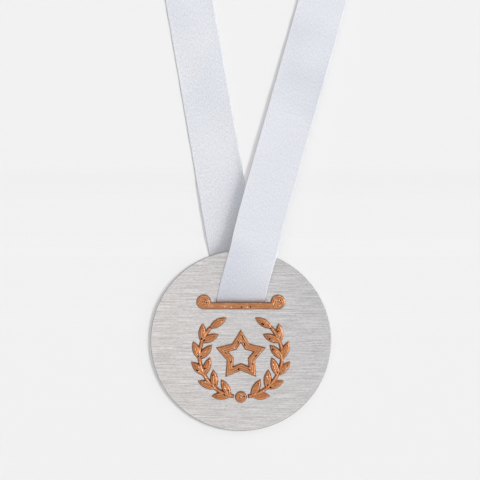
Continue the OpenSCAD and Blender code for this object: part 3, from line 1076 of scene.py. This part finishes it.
def new_geometry_tree(name, inputs):
    """A Geometry Nodes tree with named inputs and one geometry output."""
    tree = bpy.data.node_groups.new(name, "GeometryNodeTree")
    tree.interface.new_socket("Geometry", in_out="OUTPUT", socket_type="NodeSocketGeometry")
    for label, kind in inputs.items():
        tree.interface.new_socket(label, in_out="INPUT", socket_type="NodeSocket" + kind)
    return tree, tree.nodes.new("NodeGroupInput").outputs, tree.nodes.new("NodeGroupOutput")


def numbered_points(tree, count):
    """A row of points, and their numbers from 0."""
    row = add(tree, "GeometryNodeMeshLine", {"Count": count}).outputs[0]
    points = add(tree, "GeometryNodeMeshToPoints", {"Mesh": row}).outputs[0]
    return points, add(tree, "GeometryNodeInputIndex").outputs[0]


def instances(tree, points, place, shape, spin):
    """One turned copy of an object on each point, once the points stand in their place."""
    placed = add(tree, "GeometryNodeSetPosition", {"Geometry": points, "Position": place}).outputs[0]
    shape_mesh = add(tree, "GeometryNodeObjectInfo", {"Object": shape}).outputs["Geometry"]
    rotation = add(tree, "FunctionNodeEulerToRotation", {0: spin}).outputs[0]
    inputs = {"Points": placed, "Instance": shape_mesh, "Rotation": rotation}
    return add(tree, "GeometryNodeInstanceOnPoints", inputs).outputs[0]


def end_tree(tree, geometry, material, result):
    """Ends a tree in Realize Instances and Set Material."""
    solid = add(tree, "GeometryNodeRealizeInstances", {0: geometry}).outputs[0]
    coated = add(tree, "GeometryNodeSetMaterial", {"Geometry": solid, "Material": material}).outputs[0]
    tree.links.new(coated, result.inputs[0])


def branch_tree():
    """Leaves in pairs along a round stem, in the plane of the disc."""
    tree, given, result = new_geometry_tree("laurel_branch", {
        "Leaf": "Object", "Stem": "Object", "Material": "Material", "Pairs": "Int", "Wreath radius": "Float",
        "First angle": "Float", "Sweep": "Float", "Tilt": "Float", "Bend": "Float", "Side": "Float",
        "Wreath centre": "Vector"})
    points, number = numbered_points(tree, maths(tree, "MULTIPLY_ADD", given["Pairs"], 2.0, 1.0))
    pair = maths(tree, "FLOOR", maths(tree, "DIVIDE", number, 2.0))
    odd = maths(tree, "MODULO", number, 2.0)
    is_tip = maths(tree, "GREATER_THAN", number, maths(tree, "MULTIPLY_ADD", given["Pairs"], 2.0, -0.5))
    step = maths(tree, "DIVIDE", given["Sweep"], given["Pairs"])
    turn = maths(tree, "MULTIPLY_ADD", pair, step, given["First angle"])
    tilt = maths(tree, "MULTIPLY", maths(tree, "MULTIPLY_ADD", odd, 2.0, -1.0), given["Tilt"])
    tilt = maths(tree, "MULTIPLY", tilt, maths(tree, "SUBTRACT", 1.0, is_tip))
    branch_angle = maths(tree, "SUBTRACT", math.radians(270), turn)
    x = maths(tree, "MULTIPLY", maths(tree, "COSINE", branch_angle), given["Wreath radius"])
    x = maths(tree, "MULTIPLY", x, given["Side"])
    z = maths(tree, "MULTIPLY", maths(tree, "SINE", branch_angle), given["Wreath radius"])
    heading = maths(tree, "SUBTRACT", maths(tree, "ADD", branch_angle, tilt), given["Bend"])
    heading = maths(tree, "SUBTRACT", heading, math.radians(90))
    upright = maths(tree, "SUBTRACT", heading, math.radians(90))
    heading = maths(tree, "MULTIPLY_ADD", upright, given["Side"], math.radians(90))
    spin = vector_of(tree, 0.0, maths(tree, "MULTIPLY", heading, -1.0))
    leaves = instances(tree, points, vector_of(tree, x, 0.0, z), given["Leaf"], spin)
    stem_shape = add(tree, "GeometryNodeObjectInfo", {"Object": given["Stem"]}).outputs["Geometry"]
    joined = tree.nodes.new("GeometryNodeJoinGeometry")
    tree.links.new(leaves, joined.inputs[0])
    tree.links.new(stem_shape, joined.inputs[0])
    move = {"Geometry": joined.outputs[0], "Translation": given["Wreath centre"]}
    merge = add(tree, "GeometryNodeMeshBoolean", operation="UNION", solver="MANIFOLD")
    tree.links.new(add(tree, "GeometryNodeTransform", move).outputs[0], merge.inputs[1])
    end_tree(tree, merge.outputs[0], given["Material"], result)
    return tree


def grown(name, tree, values):
    """Runs a tree on an empty mesh and keeps what it makes as a plain mesh."""
    obj = plain_mesh(name, [], [])
    modifier = obj.modifiers.new(name, "NODES")
    modifier.node_group = tree
    for item in tree.interface.items_tree:
        if item.in_out == "INPUT":
            modifier[item.identifier] = values[item.name]
    made = mesh_with_modifiers(obj)
    obj.modifiers.clear()
    obj.data = made
    return obj


BRANCH = branch_tree()
print("branch tree nodes:", len(BRANCH.nodes))

# %% Grow both branches
LEAF_PAIRS = 5
LEAF_TILT = math.radians(32)
LEAF_BEND = math.asin(LEAF_L / (2 * WREATH_R))


def mirrored_copy(obj, name):
    """A copy mirrored from left to right, with its faces turned to point outwards again."""
    mesh = bmesh.new()
    mesh.from_mesh(obj.data)
    bmesh.ops.scale(mesh, vec=(-1, 1, 1), verts=mesh.verts)
    bmesh.ops.reverse_faces(mesh, faces=mesh.faces[:])
    return piece_from(mesh, name)


right_stem = mirrored_copy(stem, "right_stem_shape")
branch_values = {
    "Leaf": leaf, "Material": copper, "Pairs": LEAF_PAIRS, "Wreath radius": WREATH_R * MM,
    "First angle": math.radians(LEAF_START), "Sweep": math.radians(LEAF_SWEEP), "Tilt": LEAF_TILT,
    "Bend": LEAF_BEND, "Wreath centre": tuple(at(0, 0, WREATH_Z))}
for node, side_sign, side_stem in (("laurel_left", 1.0, stem), ("laurel_right", -1.0, right_stem)):
    branch = grown(node + "_print", BRANCH, {**branch_values, "Stem": side_stem, "Side": side_sign})
    finish_print(branch, node)
for shape in (leaf, stem, right_stem):
    bpy.data.objects.remove(shape)

# %% [markdown]
# ## The path of the ribbon
#
# The ribbon is one strip, 22.2 mm wide and 32 inches long before sewing, so it is built as one piece here,
# although the solids cut it into rigid lengths. Its route is a list of stations from one end of the lap at
# the nape to the other: down the right shoulder, down the front strand, through the slot, up the back strand
# and over the left shoulder. Each station holds a middle point and half of the line across the ribbon. That
# line is level on the plate and square to the ribbon at the collar. The route repeats the one that the
# solids follow, with one addition: satin this wide is stiff, so above the slot the front strand bows a few
# millimetres out from the plate before it dives through.

# %% Measure the strands
FOLD_Z = 20.24
FOLD_H = 2.2
MEET_Z = 19.24
FRONT_LOW_TAN = math.tan(FRONT_LEAN)
FRONT_TAN = math.tan(math.radians(15.8))
BACK_TAN = math.tan(math.radians(9.8))
FRONT_SWAY = 0.95
DIVE_TOP = 35.0
DIVE_DEPTH = 6.4
DIVE_DROP = 8.0
DIVE_FLAT = 3.0
BOW_TOP = 50.0
TURN_LOW = 188.0


def unit(v):
    return v / np.linalg.norm(v)


def front_tan(z):
    """The front strand's lean: it turns a little within the bend above the disc."""
    share = min(max((z - FLEX_LOW) / (FLEX_HIGH - FLEX_LOW), 0.0), 1.0)
    return FRONT_LOW_TAN + (FRONT_TAN - FRONT_LOW_TAN) * share


def front_x(z):
    """Where the middle of the front strand is at a height."""
    low = FRONT_LOW_TAN * (min(z, FLEX_LOW) - MEET_Z)
    bend_z = min(max(z, FLEX_LOW), FLEX_HIGH)
    bend = (FRONT_LOW_TAN + front_tan(bend_z)) / 2 * (bend_z - FLEX_LOW)
    return low + bend + FRONT_TAN * (max(z, FLEX_HIGH) - FLEX_HIGH)


def back_x(z):
    """Where the middle of the back strand is at a height."""
    return -BACK_TAN * (z - MEET_Z)


def front_bow(z):
    """How far the stiff ribbon stands proud of a straight strand, above the slot."""
    return (DIVE_DEPTH - STRAND_Y) * (1 - smooth(z, DIVE_TOP, BOW_TOP))


def front_sway(z):
    """The front strand hangs a little to the right of a straight line."""
    return FRONT_SWAY * smooth(z, 26, 44) * (1 - smooth(z, 185, 220))


def strand_way(side_sign):
    """The direction of a strand where it reaches the collar: 1 is the front strand, -1 the back one."""
    lean = FRONT_TAN if side_sign == 1 else -BACK_TAN
    return unit(np.array([lean, side_sign * STRAND_Y / (COLLAR_Z - FLEX_LOW), 1]))


def square_across(way):
    """The unit line across the ribbon that is square to its direction and as level as it can be."""
    return unit(np.array([1.0, 0, 0]) - way[0] * way)


def level_half(slope):
    """Half of the level line across a leaning strand."""
    return np.array([RIBBON_W / 2 * math.sqrt(1 + slope * slope), 0, 0])


def half_line(z, side_sign, slope):
    """Half of the line across a strand: level at the disc, and square to the strand at the collar."""
    turned = smooth(z, TURN_LOW, COLLAR_Z)
    return (1 - turned) * level_half(slope) + turned * square_across(strand_way(side_sign)) * RIBBON_W / 2


def fold_half(s):
    """Half of the line across the fold, from the front strand's at 0 to the back strand's at 1."""
    return (1 - s) * level_half(FRONT_LOW_TAN) + s * level_half(BACK_TAN)


print("x of both strands at the collar in mm:", round(back_x(COLLAR_Z), 1), round(front_x(COLLAR_Z), 1))

# %% List the ribbon's stations
NAPE = np.array([12.0, 112.0, 293.0])
NAPE_TILT = math.radians(15)
NAPE_ACROSS = np.array([0, math.sin(NAPE_TILT), -math.cos(NAPE_TILT)])
NAPE_OUT = np.array([0, math.cos(NAPE_TILT), math.sin(NAPE_TILT)])
SHOULDER_PULL = 62.0
NAPE_PULL = 66.0
LAP_L = 24.0
LAP_GAP = 0.1


def heights(start, *legs):
    """Heights from a start through (end, steps) legs, without the start itself."""
    found = []
    for end, count in legs:
        found += list(np.linspace(start, end, count + 1)[1:])
        start = end
    return found


def shoulder(side_sign):
    """Stations from the collar over one shoulder to the far end of the lap."""
    way = strand_way(side_sign)
    foot = np.array([front_x(COLLAR_Z) if side_sign == 1 else back_x(COLLAR_Z), 0, COLLAR_Z])
    lap_middle = NAPE + (0.0 if side_sign == 1 else RIBBON_T + LAP_GAP) * NAPE_OUT
    top = lap_middle + np.array([side_sign * LAP_L / 2, 0, 0])
    pulls = [foot, foot + SHOULDER_PULL * way, top + np.array([side_sign * NAPE_PULL, 0, 0]), top]
    run = []
    for t in np.linspace(0, 1, 97):
        middle = ((1 - t) ** 3 * pulls[0] + 3 * (1 - t) ** 2 * t * pulls[1]
                  + 3 * (1 - t) * t * t * pulls[2] + t ** 3 * pulls[3])
        tangent = unit((1 - t) ** 2 * (pulls[1] - pulls[0]) + 2 * (1 - t) * t * (pulls[2] - pulls[1])
                       + t * t * (pulls[3] - pulls[2]))
        across = (1 - smooth(t)) * square_across(way) + smooth(t) * side_sign * NAPE_ACROSS
        across = unit(across - across.dot(tangent) * tangent)
        run.append((middle, across * RIBBON_W / 2))
    for reach in np.linspace(LAP_L / 2, -LAP_L / 2, 13)[1:]:
        middle = lap_middle + np.array([side_sign * reach, 0, 0])
        run.append((middle, side_sign * NAPE_ACROSS * RIBBON_W / 2))
    return run


def stations():
    """(middle, half across) of each station, in order along the ribbon."""
    found = list(reversed(shoulder(1)))
    for z in heights(COLLAR_Z, (FLEX_HIGH, 81), (FLEX_LOW, 18), (DIVE_TOP, 24)):
        middle = np.array([front_x(z) + front_sway(z), -STRAND_Y * closing(z) - front_bow(z), z])
        found.append((middle, half_line(z, 1, front_tan(z))))
    for t in np.linspace(0, 1, 37)[1:-1]:
        start, pull, reach = (1 - t) ** 3, 3 * (1 - t) ** 2 * t, 3 * (1 - t) * t * t
        z = start * DIVE_TOP + pull * (DIVE_TOP - DIVE_DROP) + (reach + t ** 3) * (FOLD_Z - FOLD_H)
        y = -(start + pull) * DIVE_DEPTH - reach * DIVE_FLAT
        s = min(max((FOLD_Z - z) / FOLD_H, 0.0), 1.0) / 2
        found.append((np.array([front_x(z) + front_sway(z), y, z]), fold_half(s)))
    for s in np.linspace(0.5, 1, 11):
        turn = math.pi * s
        x = (1 - s) * front_x(FOLD_Z) + s * back_x(FOLD_Z)
        middle = np.array([x, -STRAND_Y * math.cos(turn), FOLD_Z - FOLD_H * math.sin(turn)])
        found.append((middle, fold_half(s)))
    for z in heights(FOLD_Z, (FLEX_LOW, 26), (FLEX_HIGH, 18), (COLLAR_Z, 81))[:-1]:
        found.append((np.array([back_x(z), STRAND_Y * closing(z), z]), half_line(z, -1, BACK_TAN)))
    return found + shoulder(-1)


route = stations()
middles = np.array([middle for middle, _ in route])
steps = np.linalg.norm(np.diff(middles, axis=0), axis=1)
print("stations:", len(route), "length in mm:", round(float(steps.sum()), 1))

# %% [markdown]
# ## Weave the strip
#
# At each station a closed outline is laid round the ribbon: the satin face, one woven edge, the dull back
# and the other edge. The edges are a little thicker than the middle, as a selvedge is, and they waver by
# less than a tenth of a millimetre, because no woven edge is a ruled line. The strands also belly very
# slightly. The UV map holds centimetres across and along the cloth, so the weave keeps its size round every
# bend, and an attribute tells the dull side from the satin side.

# %% Make the ribbon
EDGE_T = 0.46
EDGE_LIP = 0.12
FACE_POINTS = 18
BELLY = 0.12
BELLY_MIDDLE_Z = 130
BELLY_END, BELLY_FULL = 75, 35
# The two waves of each edge, as (height, rate along the ribbon, start).
RIGHT_WAVES = ((0.05, 0.62, 0), (0.04, 0.27, 1))
LEFT_WAVES = ((0.05, 0.55, 2), (0.04, 0.31, 0))


def ribbon_outline(number):
    """(point, UV) round the ribbon at a station: across the satin face, and back across the dull one."""
    middle, half = route[number]
    along, tangent = places[number], tangents[number]
    out, side_way, half_w = unit(np.cross(tangent, half)), unit(half), np.linalg.norm(half)
    slant = side_way.dot(tangent)
    free = smooth(abs(middle[2] - BELLY_MIDDLE_Z), BELLY_END, BELLY_FULL)
    shares = np.sin(np.linspace(-math.pi / 2, math.pi / 2, FACE_POINTS + 1))
    found = []
    for face_sign, order in ((1, shares), (-1, shares[::-1])):
        for share in order:
            waves = RIGHT_WAVES if share > 0 else LEFT_WAVES
            waver = sum(height * math.sin(along * rate + start) for height, rate, start in waves)
            reach = share * half_w + (waver if abs(share) > 0.97 else 0.0) * math.copysign(1, share)
            thick = EDGE_T if 0.93 < abs(share) < 0.99 else RIBBON_T
            lift = face_sign * (thick / 2 if abs(share) < 0.999 else EDGE_LIP)
            belly = free * BELLY * math.sin(along / 11 + 2 * share) * (1 - share * share * 0.5)
            point = middle + side_way * reach + out * (lift + belly)
            across = reach * math.sqrt(max(1 - slant * slant, 0)) + RIBBON_W / 2
            found.append((point, (across, along + reach * slant)))
    return found


def ribbon_mesh():
    """One closed strip through all the stations."""
    mesh = bmesh.new()
    uv_layer = mesh.loops.layers.uv.new("weave")
    reverse_layer = mesh.faces.layers.float.new("reverse")
    rings = []
    for number in range(len(route)):
        rings.append([(mesh.verts.new(at(*point)), uv) for point, uv in ribbon_outline(number)])
    count = len(rings[0])
    for first, second in zip(rings, rings[1:]):
        for i in range(count):
            j = (i + 1) % count
            corners = (first[i], second[i], second[j], first[j])
            face = mesh.faces.new([vertex for vertex, _ in corners])
            face.smooth = True
            face[reverse_layer] = 1.0 if i > FACE_POINTS else 0.0
            for loop, (_, uv) in zip(face.loops, corners):
                loop[uv_layer].uv = (uv[0] * CM_PER_MM, uv[1] * CM_PER_MM)
    for ring in (rings[0], rings[-1]):
        mesh.faces.new([vertex for vertex, _ in ring])
    bmesh.ops.recalc_face_normals(mesh, faces=mesh.faces[:])
    return mesh


places = np.concatenate([[0], np.cumsum(steps)])
tangents = np.gradient(middles, axis=0)
tangents /= np.linalg.norm(tangents, axis=1)[:, None]
ribbon = piece_from(ribbon_mesh(), "neck_ribbon_cloth")
print("ribbon triangles:", triangles_of(ribbon))

# %% [markdown]
# ## Satin
#
# A satin face is made of long floating threads that run along the ribbon, so it is smooth and shows fine
# streaks along its length. Broad cool and warm bands are painted into its colour as light and shade, where
# the cloth is not quite flat. Its back is dull and pebbled by the cross threads. The woven edges carry fine
# ribs, and their outermost strip is painted darker as shade. One material reads the weave's UV map and mixes
# the two sides by the attribute.

# %% Make the satin
# The cool and warm colours are the two ends of broad bands of painted light and shade.
SATIN_SHADED_COOL = (0.715, 0.735, 0.800)
SATIN_LIT_WARM = (0.815, 0.830, 0.880)
REVERSE_SHADED_COOL = (0.768, 0.788, 0.842)
REVERSE_LIT_WARM = (0.812, 0.824, 0.860)
SELVEDGE = (0.87, 0.88, 0.90)
# The edge colour is painted shade on the outermost strip of each edge.
EDGE_SHADE = (0.600, 0.610, 0.640)
WARP_RIB = 0.93 / 2 * CM_PER_MM
EDGE_RIB = 0.035
LIGHT_BAND_START = (16.0, -157.1, 24.9)

satin, tree, shader, place = new_material("satin")
weave = add(tree, "ShaderNodeUVMap", uv_map="weave").outputs[0]
across, along = parts_of(tree, weave)[0:2]
reverse = add(tree, "ShaderNodeAttribute", attribute_name="reverse").outputs["Fac"]
warp_place = vector_of(tree, along, 0.0, across)
floats = grain(tree, warp_place, length=0.11, pitch=0.040, waver=0.004)
pebbles = grain(tree, warp_place, length=0.10, pitch=0.045, waver=0.01)["Grain"]
light_band_place = add(tree, "ShaderNodeVectorMath", {0: weave, 1: LIGHT_BAND_START}, operation="ADD").outputs[0]
# Painted light and shade: broad bands in the colour of both faces.
painted_light_bands = noise(tree, light_band_place, scale=0.30, detail=1.0)
rib_tone = maths(tree, "DIVIDE", maths(tree, "PINGPONG", across, WARP_RIB), WARP_RIB)


def cloth_side(shade_colour, light_colour, threads, depth, rib_depth):
    """A tone with painted bands of light and shade, darkened and lightened by the threads."""
    tone = ramp(tree, painted_light_bands, [(0.39, shade_colour), (0.61, light_colour)])
    thread_tone = remap(tree, threads, 0.3, 0.7, 1 - depth, 1 + depth)
    ribs = maths(tree, "MULTIPLY_ADD", rib_tone, rib_depth, 1 - rib_depth / 2)
    return mix_colour(tree, 1.0, tone, maths(tree, "MULTIPLY", thread_tone, ribs), "MULTIPLY")


face_colour = cloth_side(SATIN_SHADED_COOL, SATIN_LIT_WARM, floats["Grain"], depth=0.12, rib_depth=0.03)
back_colour = cloth_side(REVERSE_SHADED_COOL, REVERSE_LIT_WARM, pebbles, depth=0.17, rib_depth=0.0)
cloth_colour = mix_colour(tree, reverse, face_colour, back_colour)
off_middle = maths(tree, "SUBTRACT", maths(tree, "DIVIDE", across, CM_PER_MM), RIBBON_W / 2)
edge_distance = maths(tree, "SUBTRACT", RIBBON_W / 2, maths(tree, "ABSOLUTE", off_middle))
selvedge = remap(tree, edge_distance, 0.7, 0.4)
# Painted shade: the outermost strip of each edge is darker.
very_edge_shade = remap(tree, edge_distance, 0.20, 0.06)
edged = mix_colour(tree, maths(tree, "MULTIPLY", selvedge, 0.4), cloth_colour, SELVEDGE)
edged = mix_colour(tree, very_edge_shade, edged, EDGE_SHADE)
edge_ribs = maths(tree, "DIVIDE", maths(tree, "PINGPONG", along, EDGE_RIB), EDGE_RIB)
edge_ribs = maths(tree, "MULTIPLY", edge_ribs, selvedge)
cloth_height = mix_value(tree, reverse, maths(tree, "MULTIPLY", floats["Fine grain"], 0.5), pebbles)
height = maths(tree, "ADD", cloth_height, maths(tree, "MULTIPLY", edge_ribs, 0.3))
rough = remap(tree, reverse, 0.0, 1.0, 0.46, 0.72)
finish_surface(tree, shader, edged, rough, height, strength=0.4, distance=0.00012)
set_inputs(shader, Specular_IOR_Level=0.35, Sheen_Weight=0.12, Sheen_Roughness=0.4)
ribbon.data.materials.append(satin)

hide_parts("ribbon_fold", "ribbon_front_flex", "ribbon_back_flex", "ribbon_front_strand",
            "ribbon_back_strand", "ribbon_right_shoulder", "ribbon_left_shoulder")
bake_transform(ribbon)
print("satin nodes:", len(tree.nodes))

# %% [markdown]
# ## The seam at the nape
#
# The lap at the nape is held by two rows of hand stitches that show on both faces. A stitch is a short
# length of two-ply thread that rises from the cloth and dives back into it. Stitches repeat by a rule, so
# Geometry Nodes place them: each number gives a row, a face of the lap and a place in the row. A small
# seeded turn keeps the rows from looking machine-cut.

# %% Shape one stitch
STITCH_L = 2.0
STITCH_STATIONS = 12
THREAD_R = 0.15
THREAD_POINTS = 10


def stitch_mesh():
    """A twisted two-ply stitch along Z whose ends dive below the cloth's face at Y 0."""
    mesh = bmesh.new()
    uv_layer = mesh.loops.layers.uv.new("ply")
    rings = []
    for station in range(STITCH_STATIONS + 1):
        s = station * 2 / STITCH_STATIONS - 1
        rise = THREAD_R - 0.02 - 0.3 * s ** 4
        ring = []
        for number in range(THREAD_POINTS):
            angle = number * 2 * math.pi / THREAD_POINTS
            ply = 1 + 0.13 * math.cos(2 * angle - 5 * s)
            radius = THREAD_R * 0.88 * ply * math.sqrt(1 - 0.6 * s ** 6)
            point = (radius * math.cos(angle), rise + radius * math.sin(angle), s * STITCH_L / 2)
            ring.append((mesh.verts.new([value * MM for value in point]), number / THREAD_POINTS))
        rings.append((ring, station / STITCH_STATIONS))
    for (first, v1), (second, v2) in zip(rings, rings[1:]):
        for i in range(THREAD_POINTS):
            j = (i + 1) % THREAD_POINTS
            corners = ((first[i], v1), (first[j], v1), (second[j], v2), (second[i], v2))
            face = mesh.faces.new([corner[0][0] for corner in corners])
            face.smooth = True
            for loop, ((_, u), v) in zip(face.loops, corners):
                loop[uv_layer].uv = (1.0 if j == 0 and u == 0.0 else u, v)
    for ring, _ in (rings[0], rings[-1]):
        mesh.faces.new([vertex for vertex, _ in ring])
    bmesh.ops.recalc_face_normals(mesh, faces=mesh.faces[:])
    return mesh


stitch = piece_from(stitch_mesh(), "stitch_shape")
print("faces of one stitch:", len(stitch.data.polygons))

# %% Make the thread
THREAD_WHITE = (0.90, 0.90, 0.91)
THREAD_SHADE = (0.66, 0.67, 0.70)

thread, tree, shader, place = new_material("sewing_thread")
ply_map = parts_of(tree, add(tree, "ShaderNodeUVMap", uv_map="ply").outputs[0])
twist = maths(tree, "MULTIPLY", ply_map["X"], 2.0)
twist = maths(tree, "ADD", twist, maths(tree, "MULTIPLY", ply_map["Y"], -1.6))
twist_phase = maths(tree, "MULTIPLY", maths(tree, "PINGPONG", twist, 0.5), 2.0)
fibres = noise(tree, place, scale=9000.0, detail=2.0)
tone = weighed(tree, twist_phase, fibres, share=0.7)
colour = ramp(tree, tone, [(0.1, THREAD_SHADE), (0.55, THREAD_WHITE)])
rough = remap(tree, fibres, 0.0, 1.0, 0.55, 0.7)
finish_surface(tree, shader, colour, rough, tone, strength=0.5, distance=0.00005)
print("thread nodes:", len(tree.nodes))

# %% Sew the lap
STITCHES = 7
SEAM_INSET = 3.0
STITCH_PITCH = (RIBBON_W - 2 * SEAM_INSET) / (STITCHES - 1)
LOOSE_TURN = math.radians(5)
SEAM_SEED = 5


def seam_tree():
    """Rows of stitches on both faces of the lap, turned with the nape."""
    tree, given, result = new_geometry_tree("lap_seam", {
        "Stitch": "Object", "Material": "Material", "Stitches": "Int", "Pitch": "Float",
        "Half spacing": "Float", "Inner face": "Float", "Outer face": "Float", "Loose turn": "Float",
        "Nape": "Vector", "Nape tilt": "Float"})
    points, number = numbered_points(tree, maths(tree, "MULTIPLY", given["Stitches"], 4.0))
    in_row = maths(tree, "MODULO", number, given["Stitches"])
    row_number = maths(tree, "FLOOR", maths(tree, "DIVIDE", number, given["Stitches"]))
    row_side = maths(tree, "MULTIPLY_ADD", maths(tree, "MODULO", row_number, 2.0), 2.0, -1.0)
    outer = maths(tree, "GREATER_THAN", row_number, 1.5)
    middle = maths(tree, "MULTIPLY_ADD", given["Stitches"], 0.5, -0.5)
    span = maths(tree, "SUBTRACT", given["Outer face"], given["Inner face"])
    x = maths(tree, "MULTIPLY", row_side, given["Half spacing"])
    y = maths(tree, "MULTIPLY_ADD", outer, span, given["Inner face"])
    z = maths(tree, "MULTIPLY", maths(tree, "SUBTRACT", in_row, middle), given["Pitch"])
    least = maths(tree, "MULTIPLY", given["Loose turn"], -1.0)
    limits = {2: least, 3: given["Loose turn"], "Seed": SEAM_SEED}
    loose = add(tree, "FunctionNodeRandomValue", limits, data_type="FLOAT").outputs[1]
    spin = vector_of(tree, 0.0, loose, maths(tree, "MULTIPLY_ADD", outer, -math.pi, math.pi))
    rows = instances(tree, points, vector_of(tree, x, y, z), given["Stitch"], spin)
    move = {"Geometry": rows, "Translation": given["Nape"], "Rotation": vector_of(tree, given["Nape tilt"])}
    end_tree(tree, add(tree, "GeometryNodeTransform", move).outputs[0], given["Material"], result)
    return tree


seam = grown("seam_stitches", seam_tree(), {
    "Stitch": stitch, "Material": thread, "Stitches": STITCHES, "Pitch": STITCH_PITCH * MM,
    "Half spacing": (LAP_L / 2 - SEAM_INSET) * MM, "Inner face": -RIBBON_T / 2 * MM,
    "Outer face": (RIBBON_T * 1.5 + LAP_GAP) * MM, "Loose turn": LOOSE_TURN,
    "Nape": tuple(at(*NAPE)), "Nape tilt": NAPE_TILT})
bpy.data.objects.remove(stitch)
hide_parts("seam_thread")
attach(seam, "neck_ribbon")
print("stitch triangles:", triangles_of(seam))

# %% [markdown]
# ## The adhesive films
#
# Each print stands on a thin film of clear adhesive, which shows only as a fine grey line round its foot.
# Those solids already have the right shape, so they keep it and only get a material: slightly cloudy,
# with small bubbles.

# %% Coat the adhesive films
FILM_CLEAR = (0.50, 0.49, 0.47)
FILM_CLOUD = (0.66, 0.65, 0.63)
FILM_BUBBLE = (0.78, 0.77, 0.75)

film, tree, shader, place = new_material("clear_adhesive")
cloud = noise(tree, place, scale=900.0, detail=3.0)
cloud_colour = ramp(tree, cloud, [(0.35, FILM_CLEAR), (0.65, FILM_CLOUD)])
bubbles = marks(tree, place, cell=0.0006, share=0.3, radius=0.25)
colour = mix_colour(tree, bubbles, cloud_colour, FILM_BUBBLE)
rough = remap(tree, cloud, 0.0, 1.0, 0.28, 0.5)
finish_surface(tree, shader, colour, rough, bubbles, strength=0.4, distance=0.00003)
for name in ("slot_bar_film", "laurel_left_film", "laurel_right_film", "wreath_tie_film", "star_film"):
    for material_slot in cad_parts[name].material_slots:
        material_slot.material = film
print("adhesive nodes:", len(tree.nodes))

# %% [markdown]
# ## Sizes
#
# The dressed medal must keep the size of the solids, so both boxes are printed side by side.

# %% Print the sizes
visual_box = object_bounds()
for number, letter in enumerate("xyz"):
    cad_size = (cad_box[1][number] - cad_box[0][number]) / MM
    visual_size = (visual_box[1][number] - visual_box[0][number]) / MM
    print(letter, "of the solids and of the pieces in mm:", round(cad_size, 2), round(visual_size, 2))
